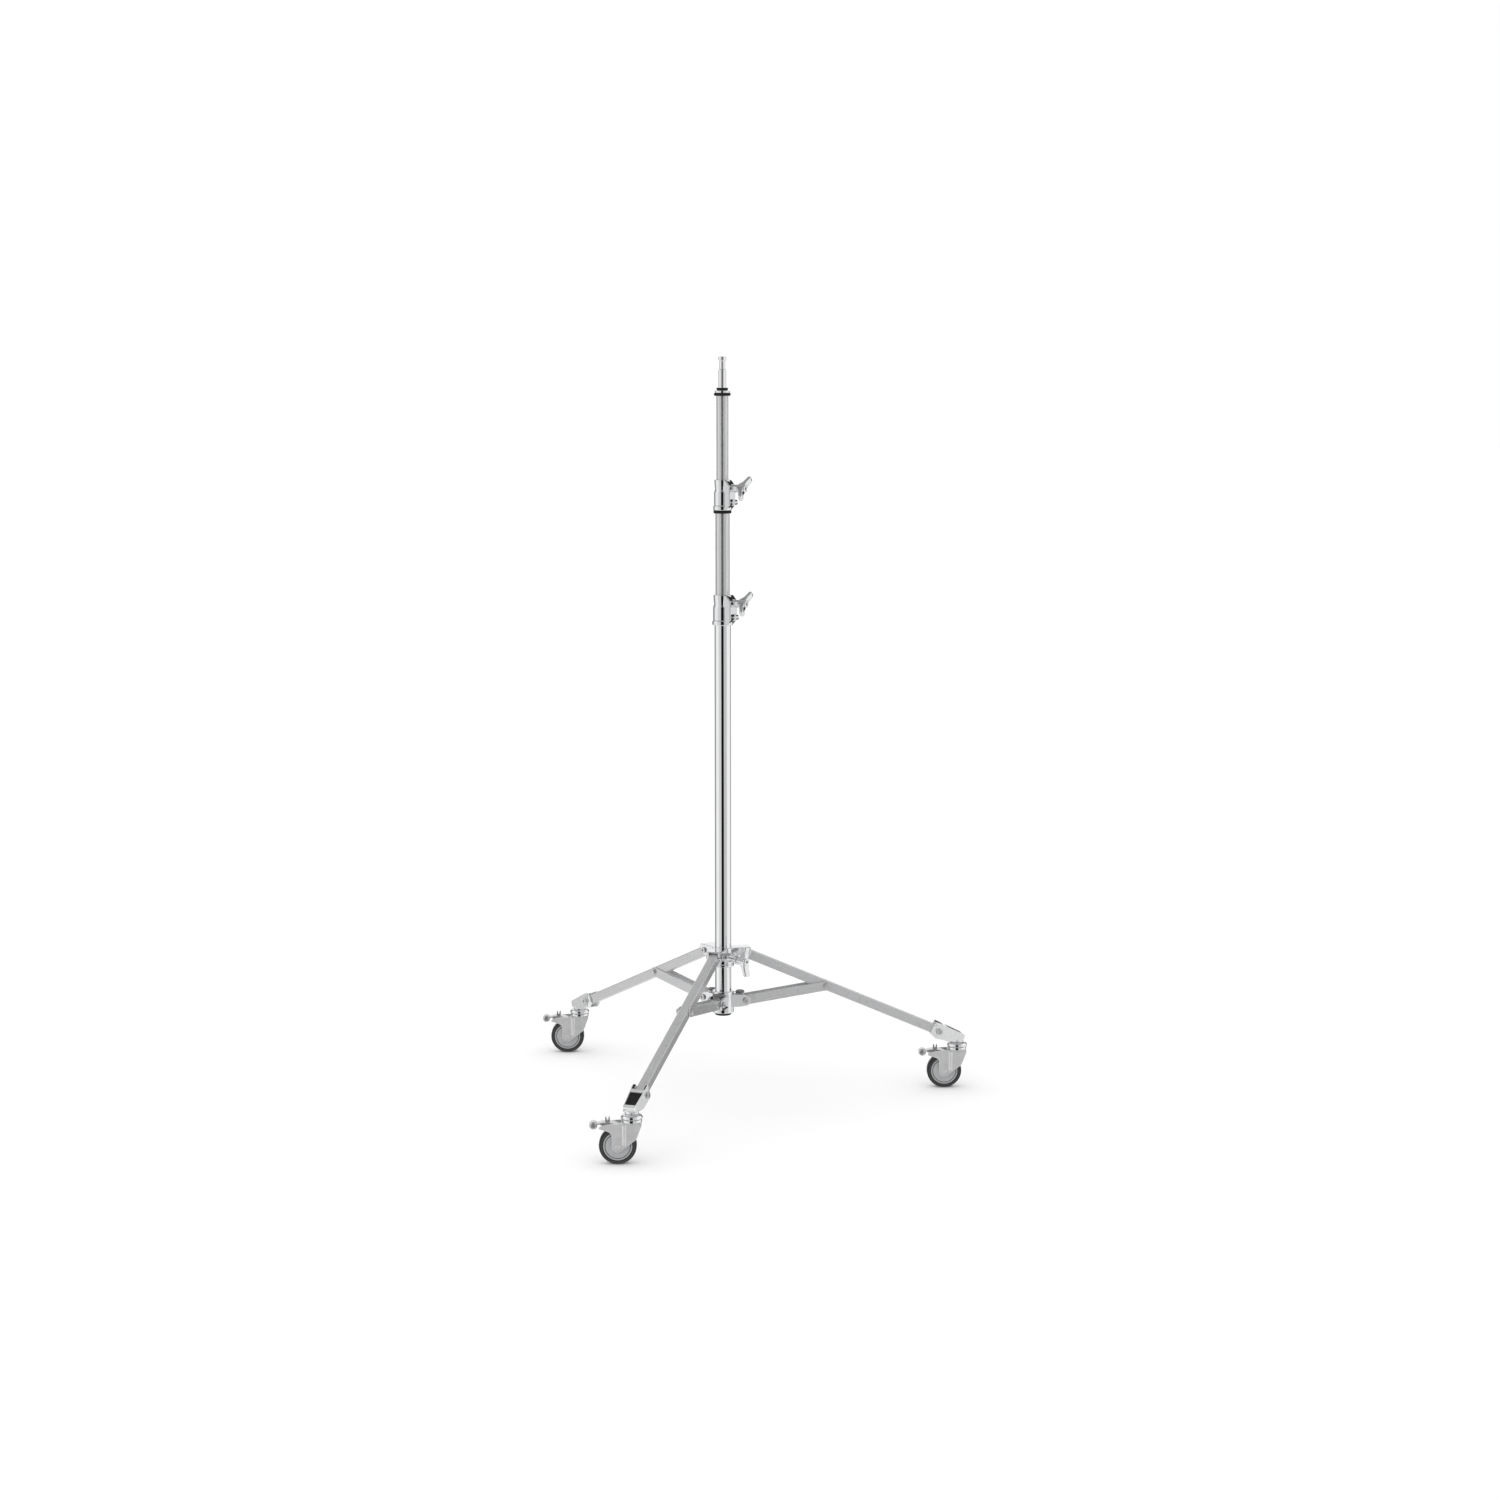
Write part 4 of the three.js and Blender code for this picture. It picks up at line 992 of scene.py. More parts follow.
def tyre(graph, tint):
    """Tyre rubber, dusty on the tread, with moulded rings and a paler band on its sides."""
    finish = bpy.context.scene.light_stand.finish
    place = graph.grain()
    radius = graph.from_axle(place)
    tread = graph.ease(radius, *TREAD_EDGE)
    dust = graph.noise(place, scale=320.0, detail=4.0)
    turns = radius * (math.tau / RING_PITCH)
    rings = turns.maths("SINE", turns)
    pale = graph.ease(radius, *PALE_FROM) * (1.0 - graph.ease(radius, *PALE_TO))
    side = graph.blend(pale, tint, tuple(finish.tyre_side))
    graph.surface(
        Base_Color=graph.blend(tread * graph.ease(dust, 0.35, 0.75), side, tuple(finish.tyre_dust)),
        Roughness=0.5 + 0.2 * dust,
        Specular_IOR_Level=0.25,
        Normal=graph.bump(rings * (1.0 - tread) * 0.25 + dust, strength=0.2, distance=0.2 * MM),
    )


def wheel_plastic(graph, tint):
    """Grey disc, a groove round it darkened with painted shade, and a light ring round that, with flow marks of
    the moulding.
    """
    finish = bpy.context.scene.light_stand.finish
    place = graph.grain()
    radius = graph.from_axle(place)
    rim = graph.ease(radius, *RIM_EDGE)
    # Painted shade: the groove between disc and ring is coloured near black, where shade falls in it
    groove = graph.ease(radius, *GROOVE_SHADE_EDGE) * (1.0 - rim)
    marks = graph.noise(place, scale=120.0, detail=3.0)
    tone = graph.blend(graph.ease(marks, 0.3, 0.8), tint, darker(tint, 0.86))
    tone = graph.blend(rim, tone, tuple(finish.wheel_rim))
    graph.surface(
        Base_Color=graph.blend(groove, tone, tuple(finish.wheel_groove_shade)),
        Roughness=0.36 + 0.12 * marks,
        Normal=graph.bump(graph.noise(place, scale=1600.0, detail=2.0), strength=0.12, distance=0.1 * MM),
    )


RECIPES = {
    "chrome": mirror_plate,
    "satin_riser": satin_tube,
    "satin_leg": satin_bar,
    "cast_alloy": bright_casting,
    "plated_steel": zinc_plate,
    "pressed_steel": satin_plate,
    "bracket_alloy": satin_casting,
    "pad_rubber": soft_rubber,
    "black_nylon": black_plastic,
    "black_rubber": soft_rubber,
    "tyre_rubber": tyre,
    "grey_nylon": wheel_plastic,
}


def material(slot):
    """The finish of a slot, made the first time it is asked for."""
    name = f"{slot}_finish"
    made = bpy.data.materials.get(name)
    if made is None:
        made = bpy.data.materials.new(name)
        tint = tuple(getattr(bpy.context.scene.light_stand.finish, slot))
        RECIPES[slot](Graph(made), tint)
    return made


# Telescoping tubes and the spigot


class LIGHTSTAND_OT_tubes(Operator):
    """Models the column, the two risers and the column's foot plug"""

    bl_idname = "lightstand.tubes"
    bl_label = "Tubes"

    def execute(self, context):
        sizes = context.scene.light_stand.tubes
        slots = {"column_tube": "chrome", "riser_1_tube": "satin_riser", "riser_2_tube": "satin_riser"}
        for node, slot in slots.items():
            low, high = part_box(node)
            radius = radius_of(node)
            bore = radius - sizes.wall
            edge = sizes.rim_round
            corners = [
                (bore, low.z, edge),
                (radius, low.z, edge),
                (radius, high.z, edge),
                (bore, high.z, edge),
            ]
            tube = turned(node, rounded(corners, closed=True, steps=3), hollow=True, steps=TUBE_STEPS)
            set_in_place(tube, slot, node, on_column())
        self.foot_plug(sizes)
        return {"FINISHED"}

    def foot_plug(self, sizes):
        low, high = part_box("column_foot_plug")
        flange_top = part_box("column_tube")[0].z - FIT
        radius = radius_of("column_foot_plug")
        inner = radius - sizes.wall - FIT
        recess = inner / 2
        corners = [
            (0, low.z + sizes.wall),
            (recess, low.z + sizes.wall, sizes.rim_round),
            (recess, low.z, sizes.rim_round),
            (radius, low.z, 2 * sizes.rim_round),
            (radius, flange_top, sizes.rim_round),
            (inner, flange_top),
            (inner, high.z, sizes.rim_round),
            (0, high.z),
        ]
        plug = turned("foot_plug", rounded(corners))
        set_in_place(plug, "black_nylon", "column_foot_plug", on_column())


class LIGHTSTAND_OT_top(Operator):
    """Models the spigot, its washer, the ferrule and the two bumpers"""

    bl_idname = "lightstand.top"
    bl_label = "Spigot and Bumpers"

    def execute(self, context):
        sizes = context.scene.light_stand.top
        self.spigot(sizes)
        self.rings(sizes)
        return {"FINISHED"}

    def spigot(self, sizes):
        low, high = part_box("spigot")
        edge = sizes.edge_round
        neck_top = high.z - sizes.head_length
        neck_foot = neck_top - sizes.neck_length
        foot = neck_foot - sizes.body_length
        corners = [
            (0, low.z),
            (sizes.shank_radius, low.z, edge),
            (sizes.shank_radius, foot),
            (sizes.spigot_radius, foot),
            (sizes.spigot_radius, neck_foot, edge),
            (sizes.neck_radius, neck_foot + edge, edge),
            (sizes.neck_radius, neck_top - edge, edge),
            (sizes.spigot_radius, neck_top, edge),
            (sizes.spigot_radius, high.z, edge),
            (2 * edge, high.z, edge / 2),
            (0, high.z - edge),
        ]
        spigot = turned("spigot", rounded(corners))
        set_in_place(spigot, "chrome", "spigot", on_column())

    def rings(self, sizes):
        edge = sizes.edge_round
        bore = sizes.shank_radius + FIT
        low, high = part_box("spigot_washer")
        outer = radius_of("spigot_washer")
        washer = [
            (bore, low.z),
            (outer - sizes.washer_taper, low.z, edge / 2),
            (outer, high.z, edge),
            (bore, high.z),
        ]
        self.ring("spigot_washer", washer, "black_nylon")

        low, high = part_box("top_ferrule")
        cap_foot = low.z + sizes.ferrule_skirt
        outer = radius_of("top_ferrule")
        skirt = radius_of("riser_2_tube") - bpy.context.scene.light_stand.tubes.wall - FIT
        ferrule = [
            (bore, low.z),
            (skirt, low.z),
            (skirt, cap_foot),
            (outer, cap_foot, edge / 2),
            (outer, high.z, edge),
            (bore, high.z),
        ]
        self.ring("top_ferrule", ferrule, "chrome")

        for node, tube, edge_in in (
            ("top_bumper", "riser_2_tube", sizes.bumper_edge),
            ("clamp_2_bumper", "riser_1_tube", edge),
        ):
            low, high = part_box(node)
            outer = radius_of(node)
            inner = radius_of(tube) + FIT
            waist = (low.z + high.z) / 2
            bumper = [
                (inner, low.z),
                (outer - edge_in, low.z, edge),
                (outer, waist, edge),
                (outer - edge_in, high.z, edge),
                (inner, high.z),
            ]
            self.ring(node, bumper, "black_rubber")

    def ring(self, node, corners, slot):
        piece = turned(node, rounded(corners, closed=True), hollow=True)
        set_in_place(piece, slot, node, on_column())


# Clamps


class LIGHTSTAND_OT_collars(Operator):
    """Models the two clamp collars with their ears, bosses and eyes"""

    bl_idname = "lightstand.collars"
    bl_label = "Clamp Collars"

    def execute(self, context):
        sizes = context.scene.light_stand.collar
        tubes = {1: ("column_tube", "riser_1_tube"), 2: ("riser_1_tube", "riser_2_tube")}
        for clamp, (outer, inner) in tubes.items():
            node = f"clamp_{clamp}_collar"
            piece = self.collar(sizes, radius_of(outer), radius_of(inner))
            turn = azimuth_of(f"clamp_{clamp}_knob_turn")
            set_in_place(piece, "cast_alloy", node, on_column(turn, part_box(node)[0].z))
        return {"FINISHED"}

    def collar(self, sizes, outer, inner):
        wide = outer + FIT
        narrow = inner + FIT
        edge = sizes.corner_round
        top = sizes.height
        profile = [
            (wide, 0, edge / 4),
            (wide + sizes.lip_wall, 0, edge),
            (wide + sizes.lip_wall, sizes.lip_height, edge),
            (wide + sizes.body_wall, sizes.lip_height + edge / 2, edge / 2),
            (wide + sizes.body_wall, sizes.shoulder_height, edge),
            (narrow + sizes.neck_wall, sizes.neck_rise, edge),
            (narrow + sizes.rim_wall, sizes.rim_start, 2 * edge),
            (narrow + sizes.rim_wall, top, edge / 2),
            (narrow, top, edge / 4),
            (narrow, sizes.seat_height),
            (wide, sizes.seat_height),
        ]
        sleeve = turned("sleeve", rounded(profile, closed=True), hollow=True, steps=TUBE_STEPS)

        half = outer - sizes.ear_inset
        face = outer + sizes.ear_reach
        start = outer / 2
        ear_side = [
            (start, edge / 4),
            (face - sizes.ear_heel_depth, edge / 4, edge),
            (face, sizes.ear_heel_rise, 2 * edge),
            (face, top - sizes.ear_shoulder_drop, edge),
            (face - sizes.ear_shoulder_depth, top - edge / 4, edge),
            (start, top - edge / 4),
        ]
        ear = plate("ear", rounded(ear_side, closed=True), -half, half, sizes.ear_bevel, "XZ")
        knob_rise = pivot("clamp_1_knob_turn").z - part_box("clamp_1_collar")[0].z
        boss = rod("boss", sizes.boss_radius, 0, face + sizes.boss_length, at=(0, 0, knob_rise),
                   edge=edge / 3, tip=sizes.boss_radius - sizes.boss_taper)
        eye_x = face + sizes.eye_proud
        eye = rod("eye", sizes.eye_radius, -sizes.eye_half, sizes.eye_half, ALONG_Y,
                  (eye_x, 0, sizes.eye_rise), edge / 3)
        body = joined(ear, eye, boss)
        bore = [
            (0, -CUT_PAST),
            (wide + edge / 4, -CUT_PAST),
            (wide + edge / 4, sizes.seat_height),
            (narrow + edge / 4, sizes.seat_height),
            (narrow + edge / 4, top + CUT_PAST),
            (0, top + CUT_PAST),
        ]
        body = joined(sleeve, cut(body, turned("bore", bore)))

        crease = math.sqrt((wide + sizes.body_wall) ** 2 - half**2)
        for side in (-1, 1):
            near, far = sided(side, half - sizes.groove_depth, half + CUT_PAST)
            groove = block("groove", (crease, near, sizes.lip_height),
                           (crease + sizes.groove_width, far, sizes.shoulder_height))
            body = cut(body, groove)

        past = sizes.eye_half + CUT_PAST
        hole = rod("hole", sizes.eye_hole, -past, past, ALONG_Y, (eye_x, 0, sizes.eye_rise))
        screw = bpy.context.scene.light_stand.knob.screw_radius + FIT
        screw_way = rod("screw_way", screw, inner / 2, face + sizes.boss_length + CUT_PAST,
                        at=(0, 0, knob_rise))
        return cut(body, joined(screw_way, hole))


WING_OUTLINE_SHARES = [
    # along the wings' reach, along half the span, and the round as a share of the bevel
    (0.22, 0.0, 0.0),
    (0.26, 0.24, 1.0),
    (0.5, 0.42, 3.0),
    (0.65, 0.74, 4.0),
    (0.73, 1.0, 1.4),
    (0.98, 1.0, 1.6),
    (1.0, 0.8, 1.6),
    (0.88, 0.48, 4.0),
    (0.83, 0.0, 0.0),
]


class LIGHTSTAND_OT_knobs(Operator):
    """Models the wing knobs of the two clamps and of the base"""

    bl_idname = "lightstand.knobs"
    bl_label = "Wing Knobs"

    def execute(self, context):
        sizes = context.scene.light_stand.knob
        tubes = {"clamp_1_knob": "riser_1_tube", "clamp_2_knob": "riser_2_tube", "base_knob": "column_tube"}
        for node, tube in tubes.items():
            start = pivot(f"{node}_turn")
            out = flat(start) - COLUMN_AXIS
            screw = out.length - radius_of(tube) - FIT
            tilt = 0.0 if node == "base_knob" else sizes.clamp_tilt
            place = (
                Matrix.Translation(start)
                @ Matrix.Rotation(azimuth(out), 4, "Z")
                @ Matrix.Rotation(tilt, 4, "X")
            )
            set_in_place(self.knob(sizes, screw), "cast_alloy", node, place)
        return {"FINISHED"}

    def knob(self, sizes, screw_length):
        hub_outline = [
            (0, -screw_length),
            (sizes.screw_radius, -screw_length, sizes.hub_round / 3),
            (sizes.screw_radius, 0),
            (sizes.hub_radius, 0, sizes.hub_round / 2),
            (sizes.hub_radius - sizes.hub_taper, sizes.hub_length, sizes.hub_round),
            (sizes.socket_radius, sizes.hub_length, sizes.hub_round / 3),
            (sizes.socket_radius, sizes.hub_length - sizes.socket_depth),
            (0, sizes.hub_length - sizes.socket_depth),
        ]
        hub = moved(turned("hub", rounded(hub_outline)), ALONG_X)
        half = sizes.wing_span / 2
        wings = []
        for side in (1, -1):
            outline = [
                (along * sizes.wing_reach, side * across * half, share * sizes.wing_bevel)
                for along, across, share in WING_OUTLINE_SHARES
            ]
            wing = plate("wing", rounded(outline, closed=True), -sizes.wing_width / 2,
                         sizes.wing_width / 2, plane="XZ")
            narrowed = sizes.tip_width / sizes.wing_width
            for vertex in wing.data.vertices:
                share = min(1.0, abs(vertex.co.z) / half)
                vertex.co.y *= 1.0 + (narrowed - 1.0) * share
            wings.append(bevelled(wing, sizes.wing_bevel, 4))
        knob = joined(hub, *wings)
        socket = rod("socket", sizes.socket_radius, sizes.hub_length - sizes.socket_depth,
                     sizes.wing_reach + CUT_PAST)
        return cut(knob, socket)


# Folding base


def pin_holes(half, out):
    """Cutters for the three pins that stand at one distance from the column's axis."""
    radius = bpy.context.scene.light_stand.fastener.shank + FIT
    past = half + CUT_PAST
    return [moved(rod("hole", radius, -past, past, ALONG_Y, (out, 0, 0)), toward(leg)) for leg in LEGS]


class LIGHTSTAND_OT_slider(Operator):
    """Models the sliding collar with its three lugs and its long boss for the knob"""

    bl_idname = "lightstand.slider"
    bl_label = "Base Slider"

    def execute(self, context):
        sizes = context.scene.light_stand.slider
        leg_half = context.scene.light_stand.leg.tube / 2
        body = self.sleeve(sizes)
        body = joined(body, *[self.lug(sizes, leg_half, leg) for leg in LEGS])
        body = joined(body, self.boss(sizes))
        body = cut(body, *[self.slot(sizes, leg_half, leg) for leg in LEGS])
        body = cut(body, *pin_holes(leg_half + FIT + sizes.lug_wall, UPPER_REACH))
        body = cut(body, self.screw_way(sizes))
        body = cut(body, bore_way(sizes.bore, -sizes.sleeve_drop, sizes.top_rise))
        set_in_place(body, "cast_alloy", "base_slider", on_column(0.0, UPPER_HEIGHT))
        return {"FINISHED"}

    def sleeve(self, sizes):
        outer = sizes.bore + sizes.sleeve_wall
        rim = outer + sizes.rim_wall
        foot = -sizes.sleeve_drop
        outline = [
            (0, foot),
            (rim, foot, sizes.rim_round),
            (rim, foot + sizes.rim_height, sizes.rim_round),
            (outer, foot + sizes.rim_height + sizes.rim_wall, sizes.rim_round),
            (outer, sizes.top_rise, sizes.rim_round),
            (0, sizes.top_rise),
        ]
        return turned("sleeve", rounded(outline), steps=TUBE_STEPS)

    def lug(self, sizes, leg_half, leg):
        half = leg_half + FIT + sizes.lug_wall
        end = UPPER_REACH + sizes.lug_reach
        foot = -sizes.lug_drop
        outline = [
            (sizes.bore / 2, sizes.top_rise),
            (end, sizes.top_rise, sizes.lug_round),
            (end, foot + sizes.lug_chamfer, 2 * sizes.lug_round),
            (end - sizes.lug_chamfer, foot, 2 * sizes.lug_round),
            (sizes.bore / 2, foot),
        ]
        lug = plate("lug", rounded(outline, closed=True), -half, half, sizes.lug_bevel, "XZ")
        return moved(lug, toward(leg))

    def boss(self, sizes):
        turn = azimuth_of("base_knob_turn")
        rise = pivot("base_knob_turn").z - UPPER_HEIGHT
        outer = sizes.bore + sizes.sleeve_wall
        end = outer + sizes.boss_reach
        waist = sizes.boss_radius - sizes.boss_waist
        outline = [
            (0, sizes.bore / 2),
            (sizes.boss_radius, sizes.bore / 2),
            (sizes.boss_radius, outer),
            (waist, outer + sizes.boss_ring, sizes.boss_ring),
            (waist, end - sizes.boss_ring, sizes.rim_round),
            (sizes.boss_radius, end - sizes.boss_ring + sizes.boss_waist, sizes.rim_round),
            (sizes.boss_radius, end, 2 * sizes.rim_round),
            (0, end),
        ]
        boss = turned("boss", rounded(outline), steps=BOSS_STEPS)
        place = Matrix.Rotation(turn, 4, "Z") @ Matrix.Translation((0, 0, rise)) @ ALONG_X
        return moved(boss, place)

    def slot(self, sizes, leg_half, leg):
        half = leg_half + FIT
        low = (UPPER_REACH - leg_half - 2 * FIT, -half, -sizes.lug_drop - sizes.sleeve_drop)
        high = (UPPER_REACH + sizes.lug_reach + CUT_PAST, half, sizes.top_rise - sizes.web)
        return moved(block("slot", low, high), toward(leg))

    def screw_way(self, sizes):
        turn = azimuth_of("base_knob_turn")
        rise = pivot("base_knob_turn").z - UPPER_HEIGHT
        radius = bpy.context.scene.light_stand.knob.screw_radius + FIT
        way = rod("way", radius, 0, sizes.bore + sizes.sleeve_wall + sizes.boss_reach + CUT_PAST,
                  at=(0, 0, rise))
        return moved(way, Matrix.Rotation(turn, 4, "Z"))


class LIGHTSTAND_OT_spider(Operator):
    """Models the fixed collar with a fork of two cheeks for each brace, and its rubber pads"""

    bl_idname = "lightstand.spider"
    bl_label = "Base Spider"

    def execute(self, context):
        sizes = context.scene.light_stand.spider
        bore = radius_of("column_tube") + FIT
        outer = bore + sizes.sleeve_wall
        body = self.sleeve(sizes, outer)
        parts = []
        for leg in LEGS:
            parts += self.fork(sizes, outer, leg)
        body = joined(body, *parts)
        body = cut(body, *pin_holes(sizes.cheek_gap + sizes.cheek_wall, LOWER_REACH))
        body = cut(body, bore_way(bore, -sizes.bottom_drop, sizes.top_rise))
        set_in_place(body, "cast_alloy", "base_spider", on_column(0.0, LOWER_HEIGHT))
        self.pads(sizes)
        return {"FINISHED"}

    def sleeve(self, sizes, outer):
        outline = [
            (0, -sizes.bottom_drop),
            (outer, -sizes.bottom_drop, sizes.rim_round),
            (outer, sizes.top_rise, sizes.rim_round),
            (0, sizes.top_rise),
        ]
        return turned("sleeve", rounded(outline), steps=TUBE_STEPS)

    def fork(self, sizes, outer, leg):
        bend = outer + sizes.cheek_radius
        outline = [
            (outer / 2, sizes.cheek_rise),
            (bend, sizes.cheek_rise, sizes.cheek_radius),
            *arc((LOWER_REACH, 0), sizes.cheek_radius, 50, -75),
            (bend, -sizes.cheek_drop, sizes.cheek_radius),
            (outer / 2, -sizes.cheek_drop),
        ]
        cheeks = []
        for side in (-1, 1):
            near, far = sided(side, sizes.cheek_gap, sizes.cheek_gap + sizes.cheek_wall)
            cheek = plate("cheek", rounded(outline, closed=True), near, far, sizes.cheek_bevel, "XZ")
            cheeks.append(moved(cheek, toward(leg)))
        tongue = block("tongue", (outer / 2, -sizes.tongue_half, sizes.tongue_foot),
                       (sizes.tongue_reach, sizes.tongue_half, sizes.pad_rise - FIT), sizes.cheek_bevel)
        return cheeks + [moved(tongue, toward(leg))]

    def pads(self, sizes):
        outline = [
            (0, 0),
            (sizes.pad_radius, 0, sizes.rim_round),
            (sizes.pad_radius, sizes.pad_height, 2 * sizes.rim_round),
            (0, sizes.pad_height),
        ]
        pad = turned("pad", rounded(outline), steps=BOSS_STEPS)
        reach_out = Matrix.Translation((sizes.pad_reach, 0, 0))

        def place(leg):
            return on_column(leg_azimuth(leg), LOWER_HEIGHT + sizes.pad_rise) @ reach_out

        set_out(pad, "black_rubber", "pad", place, "pad_rubber", carrier="base_spider")


def leg_slope():
    return math.atan2(UPPER_HEIGHT - BRACKET_HEIGHT, BRACKET_REACH - UPPER_REACH)


def mid_pivot():
    """Distance from the column's axis and height of the bolt between brace and leg."""
    middle = (centre("front_mid_bolt") + centre("front_mid_nut")) / 2
    return reach(middle), middle.z


def brace_run():
    """Length and climb of a brace from its inner to its outer pivot."""
    out, height = mid_pivot()
    run, rise = out - LOWER_REACH, height - LOWER_HEIGHT
    return math.hypot(run, rise), math.atan2(rise, run)


class LIGHTSTAND_OT_legs(Operator):
    """Models the three square legs"""

    bl_idname = "lightstand.legs"
    bl_label = "Legs"

    def execute(self, context):
        sizes = context.scene.light_stand.leg
        half = sizes.tube / 2
        span = math.hypot(UPPER_HEIGHT - BRACKET_HEIGHT, BRACKET_REACH - UPPER_REACH)
        leg = plate("leg", self.square(half, sizes.corner), -half, span + half, plane="YZ")
        ends = plate("ends", bar(span, half), -sizes.tube, sizes.tube, plane="XZ")
        leg = combined(leg, [ends], "INTERSECT")
        inside = plate("inside", self.square(half - sizes.wall, sizes.corner / 3),
                       -sizes.tube, span + sizes.tube, plane="YZ")
        leg = cut(leg, inside)
        for along in (0, span):
            hole = rod("hole", context.scene.light_stand.fastener.shank + FIT, -sizes.tube, sizes.tube,
                       ALONG_Y, (along, 0, 0))
            leg = cut(leg, hole)
        set_out(leg, "satin_leg", "leg",
                lambda name: on_leg(name, UPPER_REACH, UPPER_HEIGHT, leg_slope()))
        return {"FINISHED"}

    def square(self, half, corner):
        corners = [(half, -half), (half, half), (-half, half), (-half, -half)]
        return rounded([(x, y, corner) for x, y in corners], closed=True)


class LIGHTSTAND_OT_braces(Operator):
    """Models the three braces: two flat bars on a barrel"""

    bl_idname = "lightstand.braces"
    bl_label = "Braces"

    def execute(self, context):
        stand = context.scene.light_stand
        sizes = stand.leg
        length_of_brace, climb = brace_run()
        inner = sizes.tube / 2 + FIT
        outer = inner + sizes.bar_wall
        parts = []
        for side in (-1, 1):
            near, far = sided(side, inner, outer)
            parts.append(plate("bar", bar(length_of_brace, sizes.bar_height / 2), near, far,
                               sizes.bar_bevel, "XZ"))
        middle = inner + sizes.bar_wall / 2
        barrel = rod("barrel", sizes.barrel, -middle, middle, ALONG_Y)
        brace = joined(barrel, *parts)
        for along, radius in ((0, stand.fastener.shank), (length_of_brace, stand.fastener.bolt_shank)):
            hole = rod("hole", radius + FIT, -outer - CUT_PAST, outer + CUT_PAST, ALONG_Y, (along, 0, 0))
            brace = cut(brace, hole)
        set_out(brace, "satin_leg", "brace",
                lambda leg: on_leg(leg, LOWER_REACH, LOWER_HEIGHT, -climb))
        return {"FINISHED"}


class LIGHTSTAND_OT_fasteners(Operator):
    """Models the pivot pins, the bolts and nuts of the braces and the bolts of the brackets"""

    bl_idname = "lightstand.fasteners"
    bl_label = "Pins and Bolts"

    def execute(self, context):
        stand = context.scene.light_stand
        sizes = stand.fastener
        climb = brace_run()[1]
        inner = stand.leg.tube / 2 + FIT
        bars = inner + stand.leg.bar_wall

        lugs = inner + stand.slider.lug_wall
        cheeks = stand.spider.cheek_gap + stand.spider.cheek_wall
        pins = (
            ("upper_pivot_pin", lugs, (UPPER_REACH, UPPER_HEIGHT, leg_slope())),
            ("lower_pivot_pin", cheeks, (LOWER_REACH, LOWER_HEIGHT, -climb)),
            ("bracket_bolt", stand.bracket.inner_half, (BRACKET_REACH, BRACKET_HEIGHT)),
        )
        for suffix, half_grip, spot in pins:
            self.set_out_at(self.pin(sizes, half_grip), suffix, spot)
        for suffix, side in (("mid_bolt", 1), ("mid_nut", -1)):
            end = self.hexagon_end(sizes, inner, bars, side)
            self.set_out_at(end, suffix, (*mid_pivot(), -climb))
        return {"FINISHED"}

    def set_out_at(self, piece, suffix, spot):
        set_out(piece, "plated_steel", suffix, lambda leg: on_leg(leg, *spot))

    def pin(self, sizes, half_grip):
        """A pin with a round head at each end, each with a hexagon socket."""
        near = half_grip + FIT
        far = near + sizes.head_height
        outline = with_mirror([
            (0, -far),
            (sizes.head, -far, sizes.edge_round),
            (sizes.head, -near, sizes.edge_round / 3),
            (sizes.shank, -near),
        ])
        pin = moved(turned("pin", rounded(outline, steps=3), steps=ROD_STEPS), ALONG_Y)
        for side in (-1, 1):
            low, high = sided(side, far - sizes.socket_depth, far + CUT_PAST)
            pin = cut(pin, plate("socket", hexagon(sizes.socket), low, high, plane="XZ"))
        return pin

    def hexagon_end(self, sizes, inner, bars, side):
        """A hexagon head or nut on its washer, with the stub of shank in the bar's hole."""
        start = inner + FIT
        seat = bars + FIT
        stub_end = seat + sizes.washer_height + sizes.hexagon_height + 2 * FIT
        outline = [
            (0, start),
            (sizes.bolt_shank, start),
            (sizes.bolt_shank, seat),
            (sizes.washer, seat, sizes.edge_round / 3),
            (sizes.washer, seat + sizes.washer_height, sizes.edge_round / 3),
            (sizes.bolt_shank, seat + sizes.washer_height),
            (sizes.bolt_shank, stub_end, sizes.edge_round),
            (0, stub_end),
        ]
        direction = ALONG_Y if side > 0 else ALONG_Y @ Matrix.Rotation(math.pi, 4, "X")
        stub = moved(turned("stub", rounded(outline, steps=3), steps=ROD_STEPS), direction)
        low, high = sided(side, seat + sizes.washer_height / 2,
                          seat + sizes.washer_height + sizes.hexagon_height)
        head = plate("head", hexagon(sizes.hexagon), low, high, sizes.edge_round / 2, "XZ")
        return joined(stub, head)


def hexagon(radius):
    return arc((0, 0), radius, 0, 300, 5)


# Casters


POCKET_SHARES = (
    # where each black pocket, a painted dark reflection, begins and ends along the hood's slope
    (0.03, 0.23),
    (0.36, 0.87),
)


